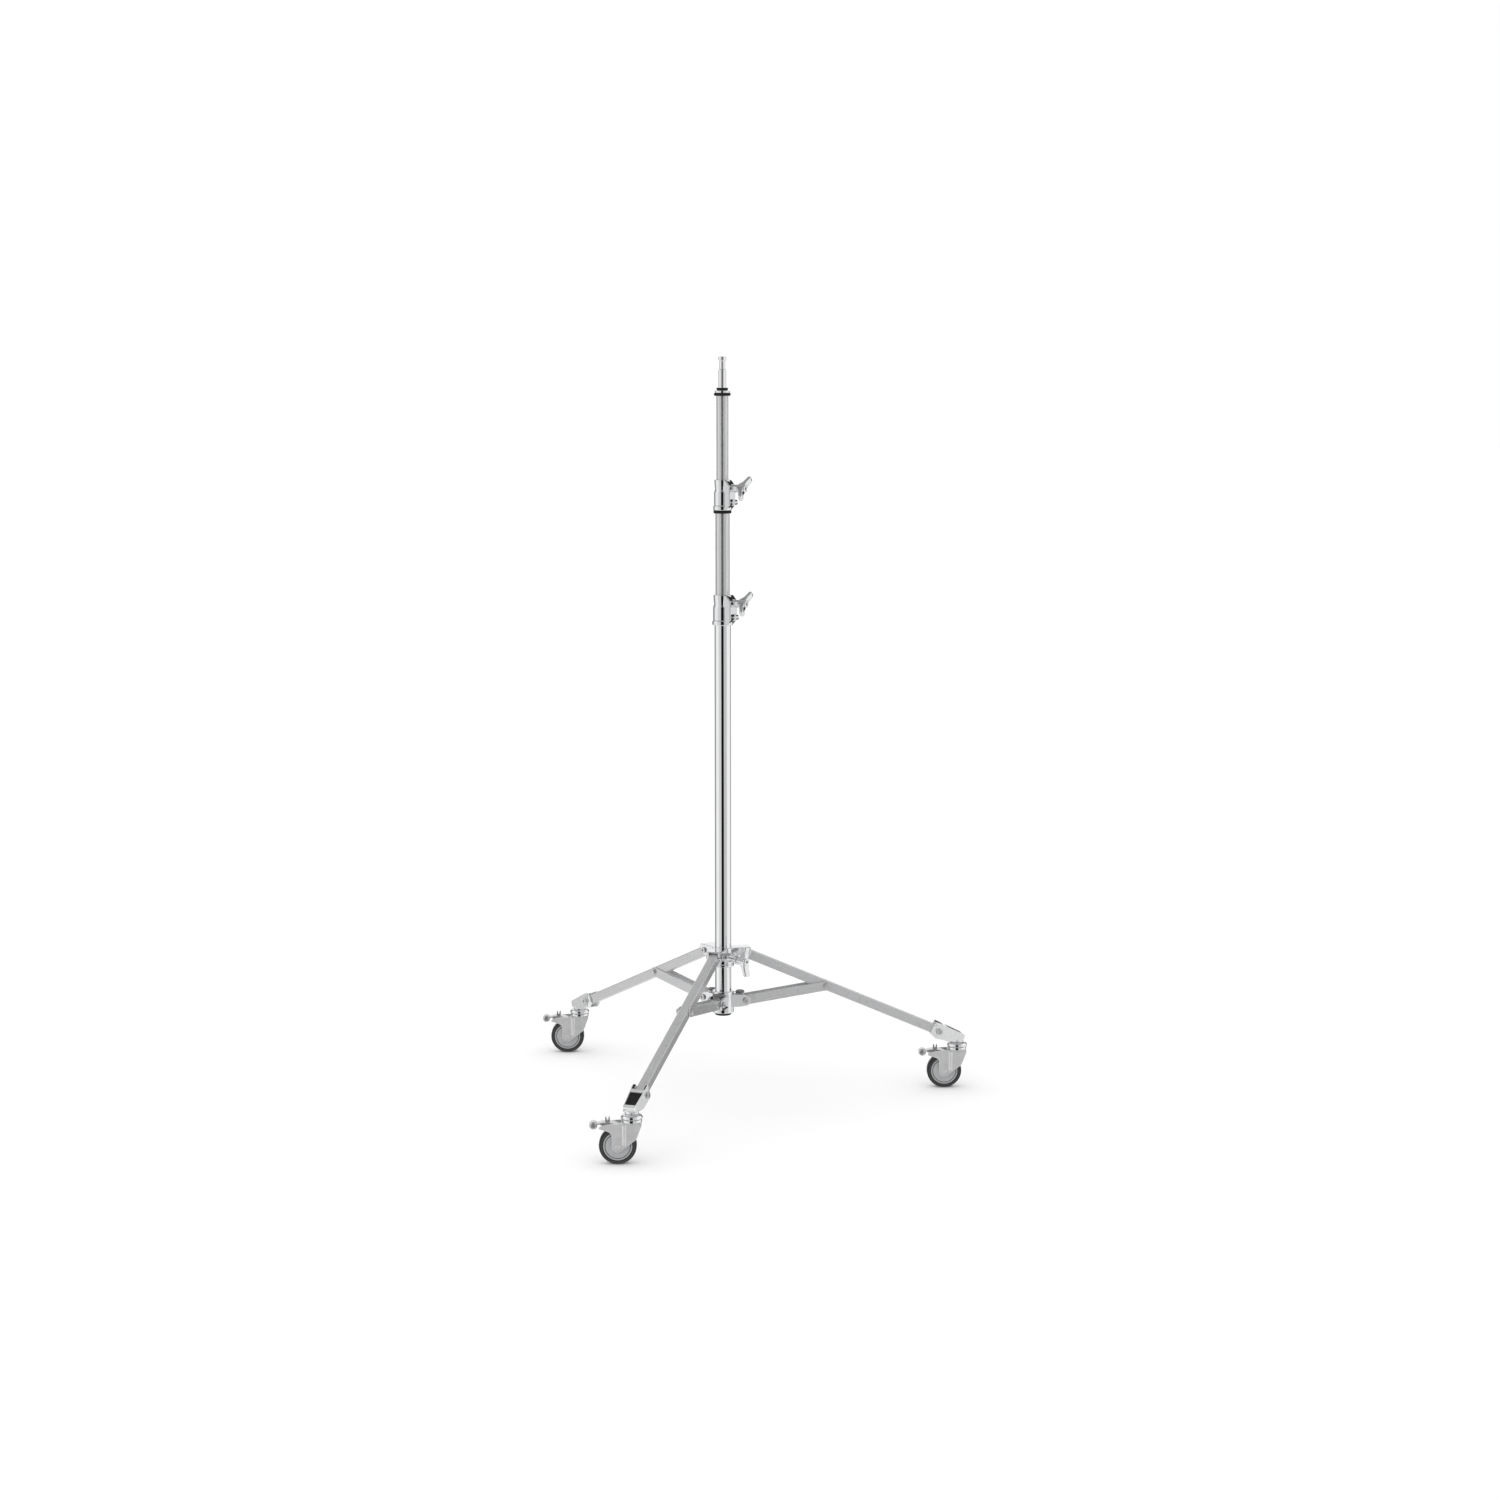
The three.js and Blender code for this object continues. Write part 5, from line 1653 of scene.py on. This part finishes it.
class LIGHTSTAND_OT_brackets(Operator):
    """Models the hoods over the ends of the legs, with black pieces in their slope that paint a dark reflection"""

    bl_idname = "lightstand.brackets"
    bl_label = "Caster Brackets"

    def execute(self, context):
        stand = context.scene.light_stand
        sizes = stand.bracket
        body = joined(self.hood(sizes), self.cheeks(sizes), self.boss(sizes))
        # Black pieces filling the pockets: a painted dark reflection on the hood's slope
        reflection_inserts = self.fillings(sizes, "reflection_insert", FIT, -sizes.insert_recess)
        pockets = self.fillings(sizes, "pocket", 0.0, CUT_PAST)
        body = cut(body, *pockets, self.slot(sizes, stand.leg.tube / 2 + FIT))

        across = sizes.inner_half + CUT_PAST
        hole = rod("hole", stand.fastener.shank + FIT, -across, across, ALONG_Y)
        stem_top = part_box("front_swivel_head")[1].z + FIT - BRACKET_HEIGHT
        stem = rod("stem", stand.swivel.stem_radius + FIT, -sizes.boss_drop - CUT_PAST, stem_top,
                   Matrix.Identity(4), (SWIVEL_REACH - BRACKET_REACH, 0, 0))
        body = cut(body, hole, stem)

        def place(leg):
            return on_leg(leg, BRACKET_REACH, BRACKET_HEIGHT)

        set_out(body, "cast_alloy", "caster_bracket", place, "bracket_alloy")
        first, second = reflection_inserts
        first = cut(first, self.slot(sizes, stand.leg.tube / 2 + 2 * FIT))
        for suffix, reflection_insert in (("hood_ridge", first), ("hood_insert", second)):
            set_out(bevelled(reflection_insert, sizes.bevel / 4), "black_nylon", suffix, place,
                    carrier="{leg}_caster_bracket")
        return {"FINISHED"}

    def hood(self, sizes):
        corner = sizes.corner_round
        foot = -sizes.foot_drop
        side = rounded(
            [
                (-sizes.back, sizes.peak, corner),
                (-sizes.back, -sizes.back_drop, corner),
                (sizes.foot_start, foot, corner),
                (sizes.outer_reach - sizes.foot_inset, foot, corner),
                (sizes.outer_reach, -sizes.outer_drop, corner),
            ],
            closed=True,
        )
        hood = plate("hood", side, -sizes.inner_half, sizes.inner_half, plane="XZ")
        plan = with_mirror([
            (-sizes.back - CUT_PAST, -sizes.inner_half),
            (sizes.outer_reach, -sizes.outer_half, 2 * corner),
        ])
        deep = sizes.boss_drop + CUT_PAST
        shape = plate("plan", rounded(plan, closed=True), -deep, sizes.peak + CUT_PAST)
        return bevelled(combined(hood, [shape], "INTERSECT"), sizes.bevel)

    def cheeks(self, sizes):
        outline = arc((0, 0), sizes.cheek_radius, 90, 270, 24)
        outline += [(sizes.foot_start, -sizes.foot_drop + sizes.bevel), (sizes.foot_start, 0)]
        return plate("cheeks", outline, -sizes.cheek_half, sizes.cheek_half, sizes.bevel, "XZ")

    def boss(self, sizes):
        foot = -sizes.boss_drop
        groove = sizes.boss_groove
        ring = foot + 3 * groove
        edge = groove / 2
        outline = [
            (0, foot),
            (sizes.boss_radius, foot, groove),
            (sizes.boss_radius, ring, edge),
            (sizes.boss_radius - groove, ring + edge, edge),
            (sizes.boss_radius - groove, ring + groove, edge),
            (sizes.boss_radius, ring + groove + edge, edge),
            (sizes.boss_radius, sizes.boss_height - sizes.boss_drop, groove),
            (0, sizes.boss_height - sizes.boss_drop),
        ]
        boss = turned("boss", rounded(outline), steps=BOSS_STEPS)
        return moved(boss, Matrix.Translation((SWIVEL_REACH - BRACKET_REACH, 0, 0)))

    def fillings(self, sizes, name, gap, top):
        """What fills the pockets in the hood's slope, with a gap to their walls."""
        run = sizes.outer_reach + sizes.back
        fall = sizes.peak + sizes.outer_drop
        slope = math.hypot(run, fall)
        dip = Matrix.Rotation(math.atan2(fall, run), 4, "Y")
        place = Matrix.Translation((-sizes.back, 0, sizes.peak)) @ dip
        pieces = []
        for start, end in POCKET_SHARES:
            near, far = (
                sizes.inner_half + (sizes.outer_half - sizes.inner_half) * share - sizes.pocket_rim - gap
                for share in (start, end)
            )
            low, high = start * slope + gap, end * slope - gap
            outline = with_mirror([(low, -near), (high, -far)])
            pieces.append(moved(plate(name, outline, gap - sizes.pocket_depth, top), place))
        return pieces

    def slot(self, sizes, half):
        """The way through which the leg folds up."""
        past = sizes.cheek_radius + CUT_PAST
        low = (-past, -half, -sizes.boss_drop - CUT_PAST)
        high = (half + FIT, half, sizes.peak + CUT_PAST)
        return block("slot", low, high)


class LIGHTSTAND_OT_swivels(Operator):
    """Models the domed bearing housings with their stems"""

    bl_idname = "lightstand.swivels"
    bl_label = "Swivel Heads"

    def execute(self, context):
        sizes = context.scene.light_stand.swivel
        low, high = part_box("front_swivel_head")
        foot = low.z
        edge = sizes.edge_round
        lip = sizes.radius - sizes.lip_inset
        start = foot + sizes.dome_foot
        outline = [
            (0, foot + sizes.pocket_height),
            (sizes.pocket_radius, foot + sizes.pocket_height),
            (sizes.pocket_radius, start),
            (lip, start, edge / 3),
            (lip, start + sizes.lip_height, edge / 4),
            (sizes.radius, start + sizes.lip_height, edge / 4),
            (sizes.radius, foot + sizes.skirt_height, 3 * edge),
            (sizes.shoulder_radius, foot + sizes.shoulder_height, 3 * edge),
            (sizes.crown_radius, foot + sizes.height, 2 * edge),
            (sizes.stem_radius, foot + sizes.height),
            (sizes.stem_radius, high.z, edge / 2),
            (0, high.z),
        ]
        head = turned("swivel", rounded(outline))
        set_out(head, "chrome", "swivel_head", on_caster)
        return {"FINISHED"}


class LIGHTSTAND_OT_forks(Operator):
    """Models the pressed forks with their arms, ribs and kingpins, and the bearing rings on them"""

    bl_idname = "lightstand.forks"
    bl_label = "Forks"

    def execute(self, context):
        stand = context.scene.light_stand
        sizes = stand.fork
        head_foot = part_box("front_swivel_head")[0].z
        top = head_foot - FIT
        floor = top - sizes.crown
        half = sizes.half_gap + sizes.plate
        trail = from_swivel("front_wheel_roll")
        outline = self.side(sizes, top, floor, trail)
        fork = plate("fork", outline, -half, half, sizes.plate_bevel, "XZ")
        low = AXLE_HEIGHT - 2 * sizes.eye_radius
        shin = AXLE_HEIGHT + sizes.shin_rise
        far = -sizes.arm_reach - 2 * sizes.plate_bevel - sizes.arm_tip - CUT_PAST
        behind = [
            (sizes.front + CUT_PAST, low),
            (far, low),
            (far, top + CUT_PAST),
            (-sizes.crown_back, top + CUT_PAST),
            (-sizes.crown_back, floor),
        ]
        between = [
            (sizes.front - sizes.plate, floor),
            (sizes.shin_reach - sizes.plate, shin),
            (sizes.front + CUT_PAST, shin),
            *behind,
        ]
        middle = [(sizes.front + CUT_PAST, floor), *behind]
        open_half = sizes.half_gap - sizes.flange
        fork = cut(fork, plate("between", between, -sizes.half_gap, sizes.half_gap, plane="XZ"),
                   plate("middle", middle, -open_half, open_half, plane="XZ"))
        kingpin = turned("kingpin", rounded([
            (0, floor + sizes.crown / 2),
            (sizes.kingpin, floor + sizes.crown / 2),
            (sizes.kingpin, head_foot + sizes.kingpin_height - FIT, sizes.plate_bevel),
            (0, head_foot + sizes.kingpin_height - FIT),
        ]))
        fork = joined(fork, kingpin, *self.ribs(sizes, half, floor))
        pedal_spot = (-from_swivel("front_brake_press"), 0, pivot("front_brake_press").z)
        across = half + CUT_PAST
        axle_hole = rod("hole", sizes.axle_hole, -across, across, ALONG_Y, (-trail, 0, AXLE_HEIGHT))
        blind = half - sizes.plate_bevel
        pedal_hole = rod("hole", stand.pedal.trunnion + FIT, -blind, blind, ALONG_Y, pedal_spot)
        fork = cut(fork, axle_hole, pedal_hole)
        set_out(fork, "plated_steel", "fork", on_caster, "pressed_steel")
        set_out(self.race(sizes, top), "plated_steel", "bearing_race", on_caster, "chrome",
                carrier="{leg}_fork")
        return {"FINISHED"}

    def race(self, sizes, top):
        """The bearing's ring on the crown, round the kingpin."""
        edge = sizes.race_round
        inner = sizes.kingpin + FIT
        outline = [
            (inner, top, edge / 4),
            (sizes.race_radius - edge, top, edge / 4),
            (sizes.race_radius, top + edge / 2, edge / 2),
            (sizes.race_radius, top + sizes.race_height, edge),
            (inner, top + sizes.race_height, edge / 4),
        ]
        return turned("race", rounded(outline, closed=True), hollow=True)

    def side(self, sizes, top, floor, trail):
        """Outline of the side plates: shin to the axle's eye, and the arm behind."""
        tip = (-sizes.arm_reach, top - sizes.arm_drop)
        corners = [
            (sizes.front, top, sizes.plate),
            (sizes.front, floor, sizes.crown),
            (sizes.shin_reach, AXLE_HEIGHT + sizes.shin_rise, sizes.eye_radius),
        ]
        corners += arc((-trail, AXLE_HEIGHT), sizes.eye_radius, -45, -180)
        corners += [(-trail - sizes.eye_radius, AXLE_HEIGHT + sizes.calf_rise, sizes.eye_radius)]
        corners += arc(tip, sizes.arm_tip, -90, -270, 8)
        corners += [
            (-sizes.arm_bend, top - sizes.arm_bend_drop, 2 * sizes.eye_radius),
            (-sizes.back, top, sizes.eye_radius),
        ]
        return rounded(corners, closed=True, steps=6)

    def ribs(self, sizes, half, high):
        """An upright rib pressed in each plate, fading out above the axle."""
        low = AXLE_HEIGHT + sizes.arm_tip
        width = sizes.eye_radius / 2
        ribs = []
        for side in (-1, 1):
            spot = (-sizes.rib_place, side * (half + sizes.rib_proud - sizes.rib_radius), 0)
            rib = rod("rib", sizes.rib_radius - sizes.rib_proud / 3, low, high, Matrix.Identity(4), spot,
                      tip=sizes.rib_radius, steps=TURN_STEPS)
            near, far = sided(side, half - sizes.plate / 2, half + 2 * sizes.rib_proud)
            shell = block("shell", (spot[0] - width, near, low), (spot[0] + width, far, high))
            ribs.append(combined(rib, [shell], "INTERSECT"))
        return ribs


LEVER_COURSE_SHARES = (
    # along the lever from its pivot to the foot knob, and up as a share of its rise
    (0.0, 0.0),
    (0.12, 0.05),
    (0.3, 0.6),
    (0.45, 1.0),
    (0.7, 1.0),
    (0.86, 0.5),
    (0.97, 0.1),
)


class LIGHTSTAND_OT_pedals(Operator):
    """Models the brake pedals with their foot knobs and tabs"""

    bl_idname = "lightstand.pedals"
    bl_label = "Brake Pedals"

    def execute(self, context):
        stand = context.scene.light_stand
        sizes = stand.pedal
        start = from_swivel("front_brake_press")
        height = pivot("front_brake_press").z
        reach_back = sizes.knob_reach - start
        half = sizes.thickness / 2
        middle = [
            (-start - along * reach_back, height + up * sizes.rise) for along, up in LEVER_COURSE_SHARES
        ]
        upper = [(x, z + half, 2 * sizes.knob_radius) for x, z in middle]
        lower = [(x, z - half, 2 * sizes.knob_radius) for x, z in reversed(middle)]
        lever = plate("lever", rounded(upper + lower, closed=True, steps=4), -sizes.half_width,
                      sizes.half_width, plane="XZ")
        widths = with_mirror([
            (-start + 2 * sizes.knob_radius, -sizes.half_width),
            (-start - 2 * sizes.knob_radius, -sizes.half_width, sizes.knob_radius),
            (-sizes.knob_reach + sizes.knob_radius, -sizes.waist, sizes.knob_radius),
            (-sizes.knob_reach - sizes.knob_radius, -sizes.waist),
        ])
        deep = sizes.tab_height + CUT_PAST
        shape = plate("shape", rounded(widths, closed=True), height - deep, height + deep)
        lever = bevelled(combined(lever, [shape], "INTERSECT"), sizes.thickness / 4)
        trunnion_half = stand.fork.half_gap + stand.fork.plate - stand.fork.plate_bevel - FIT
        trunnion = rod("trunnion", sizes.trunnion, -trunnion_half, trunnion_half, ALONG_Y,
                       (-start, 0, height), sizes.thickness / 4)
        foot = rod("foot", sizes.knob_radius, -sizes.knob_half, sizes.knob_half, ALONG_Y,
                   (-sizes.knob_reach, 0, height), 1.5 * sizes.thickness)
        tab = self.tab(sizes, height)
        pedal = joined(lever, trunnion, foot, tab)
        set_out(pedal, "plated_steel", "brake_pedal", on_caster)
        return {"FINISHED"}

    def tab(self, sizes, height):
        """Two upright prongs with round tops."""
        front = -sizes.tab_reach + sizes.tab_length / 2
        back = -sizes.tab_reach - sizes.tab_length / 2
        top = height + sizes.tab_height
        near = -sizes.tab_reach + sizes.notch / 2
        far = -sizes.tab_reach - sizes.notch / 2
        bottom = top - sizes.notch_depth
        tip = (sizes.tab_length - sizes.notch) / 4
        outline = [
            (back, height + sizes.rise - sizes.thickness / 2),
            (front, height + sizes.rise - sizes.thickness / 2),
            (front, top, tip),
            (near, top, tip),
            (near, bottom, sizes.notch / 2),
            (far, bottom, sizes.notch / 2),
            (far, top, tip),
            (back, top, tip),
        ]
        return plate("tab", rounded(outline, closed=True), -sizes.tab_half, sizes.tab_half,
                     sizes.thickness / 3, "XZ")


class LIGHTSTAND_OT_wheels(Operator):
    """Models the tyres, the wheel cores and the axles"""

    bl_idname = "lightstand.wheels"
    bl_label = "Wheels"

    def execute(self, context):
        stand = context.scene.light_stand
        sizes = stand.wheel
        low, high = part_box("front_tyre")
        radius = (high.z - low.z) / 2
        trail = from_swivel("front_wheel_roll")
        inner = radius - sizes.tyre_wall
        hub_place = Matrix.Translation((-trail, 0, AXLE_HEIGHT))

        def place(leg):
            return on_caster(leg) @ hub_place

        side = sizes.shoulder_round
        tyre_outline = with_mirror([
            (inner, -sizes.tyre_half, side / 4),
            (radius - sizes.shoulder, -sizes.tyre_half, side),
            (radius, -sizes.tread_half, 2 * side),
        ])
        tyre_piece = moved(turned("tyre", rounded(tyre_outline, closed=True), hollow=True), ALONG_Y)
        set_out(tyre_piece, "tyre_rubber", "tyre", place)
        set_out(self.core(stand, inner - FIT), "grey_nylon", "wheel_core", place)
        set_out(self.axle(stand), "plated_steel", "axle", place, "pressed_steel")
        return {"FINISHED"}

    def core(self, stand, rim):
        sizes = stand.wheel
        edge = sizes.groove / 3
        bore = sizes.axle_shank + FIT
        outline = with_mirror([
            (rim, sizes.rim_half, edge),
            (sizes.disc_radius + sizes.groove, sizes.rim_half, edge),
            (sizes.disc_radius + sizes.groove, sizes.rim_half - sizes.groove_depth),
            (sizes.disc_radius, sizes.rim_half - sizes.groove_depth),
            (sizes.disc_radius, sizes.disc_half, 2 * edge),
            (sizes.hub_radius + 2 * sizes.groove, sizes.disc_half, 4 * edge),
            (sizes.hub_radius, sizes.hub_half, 2 * edge),
            (bore, sizes.hub_half, edge),
        ])
        return moved(turned("core", rounded(outline, closed=True, steps=3), hollow=True), ALONG_Y)

    def axle(self, stand):
        sizes = stand.wheel
        near = stand.fork.half_gap + stand.fork.plate + FIT
        far = near + sizes.axle_head_height
        edge = stand.fastener.edge_round
        outline = with_mirror([
            (0, -far),
            (sizes.axle_head, -far, 2 * edge),
            (sizes.axle_head, -near, edge / 3),
            (sizes.axle_shank, -near),
        ])
        return moved(turned("axle", rounded(outline, steps=4), steps=ROD_STEPS), ALONG_Y)


class LIGHTSTAND_OT_hidden(Operator):
    """Finishes the nylon glides inside the tubes"""

    bl_idname = "lightstand.hidden"
    bl_label = "Glides"

    def execute(self, context):
        nylon = bpy.data.materials.new("glide_nylon")
        grey_plastic(Graph(nylon), tuple(context.scene.light_stand.finish.grey_nylon))
        for node in ("riser_1_glide", "riser_2_glide"):
            slots = frame["nodes"][node].data.materials
            slots.clear()
            slots.append(nylon)
        return {"FINISHED"}


# Stage

SURROUNDINGS = [
    # Grey levels round the stand: 0 and 1 lie behind it, 0.5 in front, towards the camera.
    (0.0, 1.0),
    (0.075, 1.0),
    (0.092, 0.36),
    (0.196, 0.36),
    (0.213, 1.0),
    (0.325, 1.0),
    (0.345, 0.78),
    (0.44, 0.7),
    (0.452, 0.006),
    (0.534, 0.006),
    (0.546, 0.6),
    (0.655, 0.66),
    (0.675, 1.0),
    (0.81, 1.0),
    (0.862, 0.82),
    (0.872, 0.03),
    (0.925, 0.03),
    (0.938, 1.0),
]

# How far up or down a reflection points where the ceiling or the ground takes over, and its grey
CEILING_EDGE = (0.62, 0.78)
CEILING_LEVEL = 0.35
GROUND_EDGE = (0.45, 0.75)
GROUND_LEVEL = 0.85


class LIGHTSTAND_OT_stage(Operator):
    """Sets up the camera, the light and the floor"""

    bl_idname = "lightstand.stage"
    bl_label = "Stage"

    def execute(self, context):
        sizes = context.scene.light_stand.stage
        context.scene.view_settings.view_transform = "Standard"
        self.camera(context, sizes)
        self.world(context, sizes)
        self.lamp(sizes)
        self.floor(sizes)
        return {"FINISHED"}

    def camera(self, context, sizes):
        out = Vector((math.cos(sizes.camera_azimuth), math.sin(sizes.camera_azimuth), 0))
        spot = COLUMN_AXIS + out * sizes.camera_distance + Vector((0, 0, sizes.camera_height))
        heading = sizes.camera_azimuth + math.pi / 2 + sizes.camera_yaw
        bpy.ops.object.camera_add(location=spot, rotation=(math.pi / 2 + sizes.camera_pitch, 0, heading))
        camera = context.object
        camera.data.lens = sizes.camera_lens
        camera.data.clip_end = 2 * sizes.floor_size
        context.scene.camera = camera

    def world(self, context, sizes):
        world = bpy.data.worlds.new("studio")
        context.scene.world = world
        graph = Graph(world)
        direction = graph.add("TexCoord", output="Generated")
        turn = (0.0, 0.0, -sizes.camera_azimuth)
        facing = graph.add("Mapping", {"vector_type": "POINT"}, {"Vector": direction, "Rotation": turn})
        x, y, z = graph.outputs("SeparateXYZ", {"Vector": facing}, "X", "Y", "Z")
        share = y.maths("ARCTAN2", y, x) * (1 / math.tau) + 0.5
        around = graph.add("ValToRGB", {"stops": SURROUNDINGS}, {"Fac": share})
        above = graph.ease(z, *CEILING_EDGE)
        below = graph.ease(0.0 - z, *GROUND_EDGE)
        level = graph.blend(above, around, grey(CEILING_LEVEL))
        level = graph.blend(below, level, grey(GROUND_LEVEL))
        rays = ("Is Glossy Ray", "Is Camera Ray", "Is Transmission Ray")
        glossy, direct, through = graph.outputs("LightPath", {}, *rays)
        seen = direct + through
        lit = graph.blend(glossy, grey(sizes.ambient), level)
        shown = graph.blend(seen.maths("MINIMUM", seen, 1.0), lit, grey(1.0))
        background = graph.add("Background", {}, {"Color": shown, "Strength": 1.0})
        graph.add("OutputWorld", {}, {"Surface": background})

    def lamp(self, sizes):
        turned_out = (sizes.key_lean, 0, sizes.key_azimuth + math.pi / 2)
        bpy.ops.object.light_add(type="SUN", location=COLUMN_AXIS, rotation=turned_out)
        lamp = bpy.context.object
        lamp.data.energy = sizes.key_strength
        lamp.data.angle = sizes.key_spread
        lamp.visible_glossy = False

    def floor(self, sizes):
        bpy.ops.object.select_all(action="DESELECT")
        bpy.ops.mesh.primitive_plane_add(size=sizes.floor_size, location=COLUMN_AXIS)
        floor = bpy.context.object
        floor.name = "floor"
        made = bpy.data.materials.new("floor")
        graph = Graph(made)
        paint = graph.add("BsdfDiffuse", {}, {"Color": tuple(sizes.floor_colour)})
        clear = graph.add("BsdfTransparent")
        glossy = graph.add("LightPath", output="Is Glossy Ray")
        surface = graph.add("MixShader", {}, {0: glossy, 1: paint, 2: clear})
        graph.add("OutputMaterial", {}, {"Surface": surface})
        floor.data.materials.append(made)


OPERATORS = (
    LIGHTSTAND_OT_stage,
    LIGHTSTAND_OT_tubes,
    LIGHTSTAND_OT_top,
    LIGHTSTAND_OT_collars,
    LIGHTSTAND_OT_knobs,
    LIGHTSTAND_OT_slider,
    LIGHTSTAND_OT_spider,
    LIGHTSTAND_OT_legs,
    LIGHTSTAND_OT_braces,
    LIGHTSTAND_OT_fasteners,
    LIGHTSTAND_OT_brackets,
    LIGHTSTAND_OT_swivels,
    LIGHTSTAND_OT_forks,
    LIGHTSTAND_OT_pedals,
    LIGHTSTAND_OT_wheels,
    LIGHTSTAND_OT_hidden,
)


class LIGHTSTAND_PT_sidebar(Panel):
    """Lists the stand's pieces and their sizes"""

    bl_label = "Light Stand"
    bl_idname = "LIGHTSTAND_PT_sidebar"
    bl_space_type = "VIEW_3D"
    bl_region_type = "UI"
    bl_category = "Light Stand"

    def draw(self, context):
        for operator in OPERATORS:
            self.layout.operator(operator.bl_idname)
        for name in GROUPS:
            box = self.layout.box()
            group = getattr(context.scene.light_stand, name)
            for key in group.__annotations__:
                box.prop(group, key)


CLASSES = (*GROUPS.values(), LightStand, *OPERATORS, LIGHTSTAND_PT_sidebar)


def register():
    for cls in CLASSES:
        bpy.utils.register_class(cls)
    bpy.types.Scene.light_stand = PointerProperty(type=LightStand)


def unregister():
    del bpy.types.Scene.light_stand
    for cls in reversed(CLASSES):
        bpy.utils.unregister_class(cls)


def main():
    register()
    for operator in OPERATORS:
        family, call = operator.bl_idname.split(".")
        getattr(getattr(bpy.ops, family), call)()


if __name__ == "__main__":
    main()
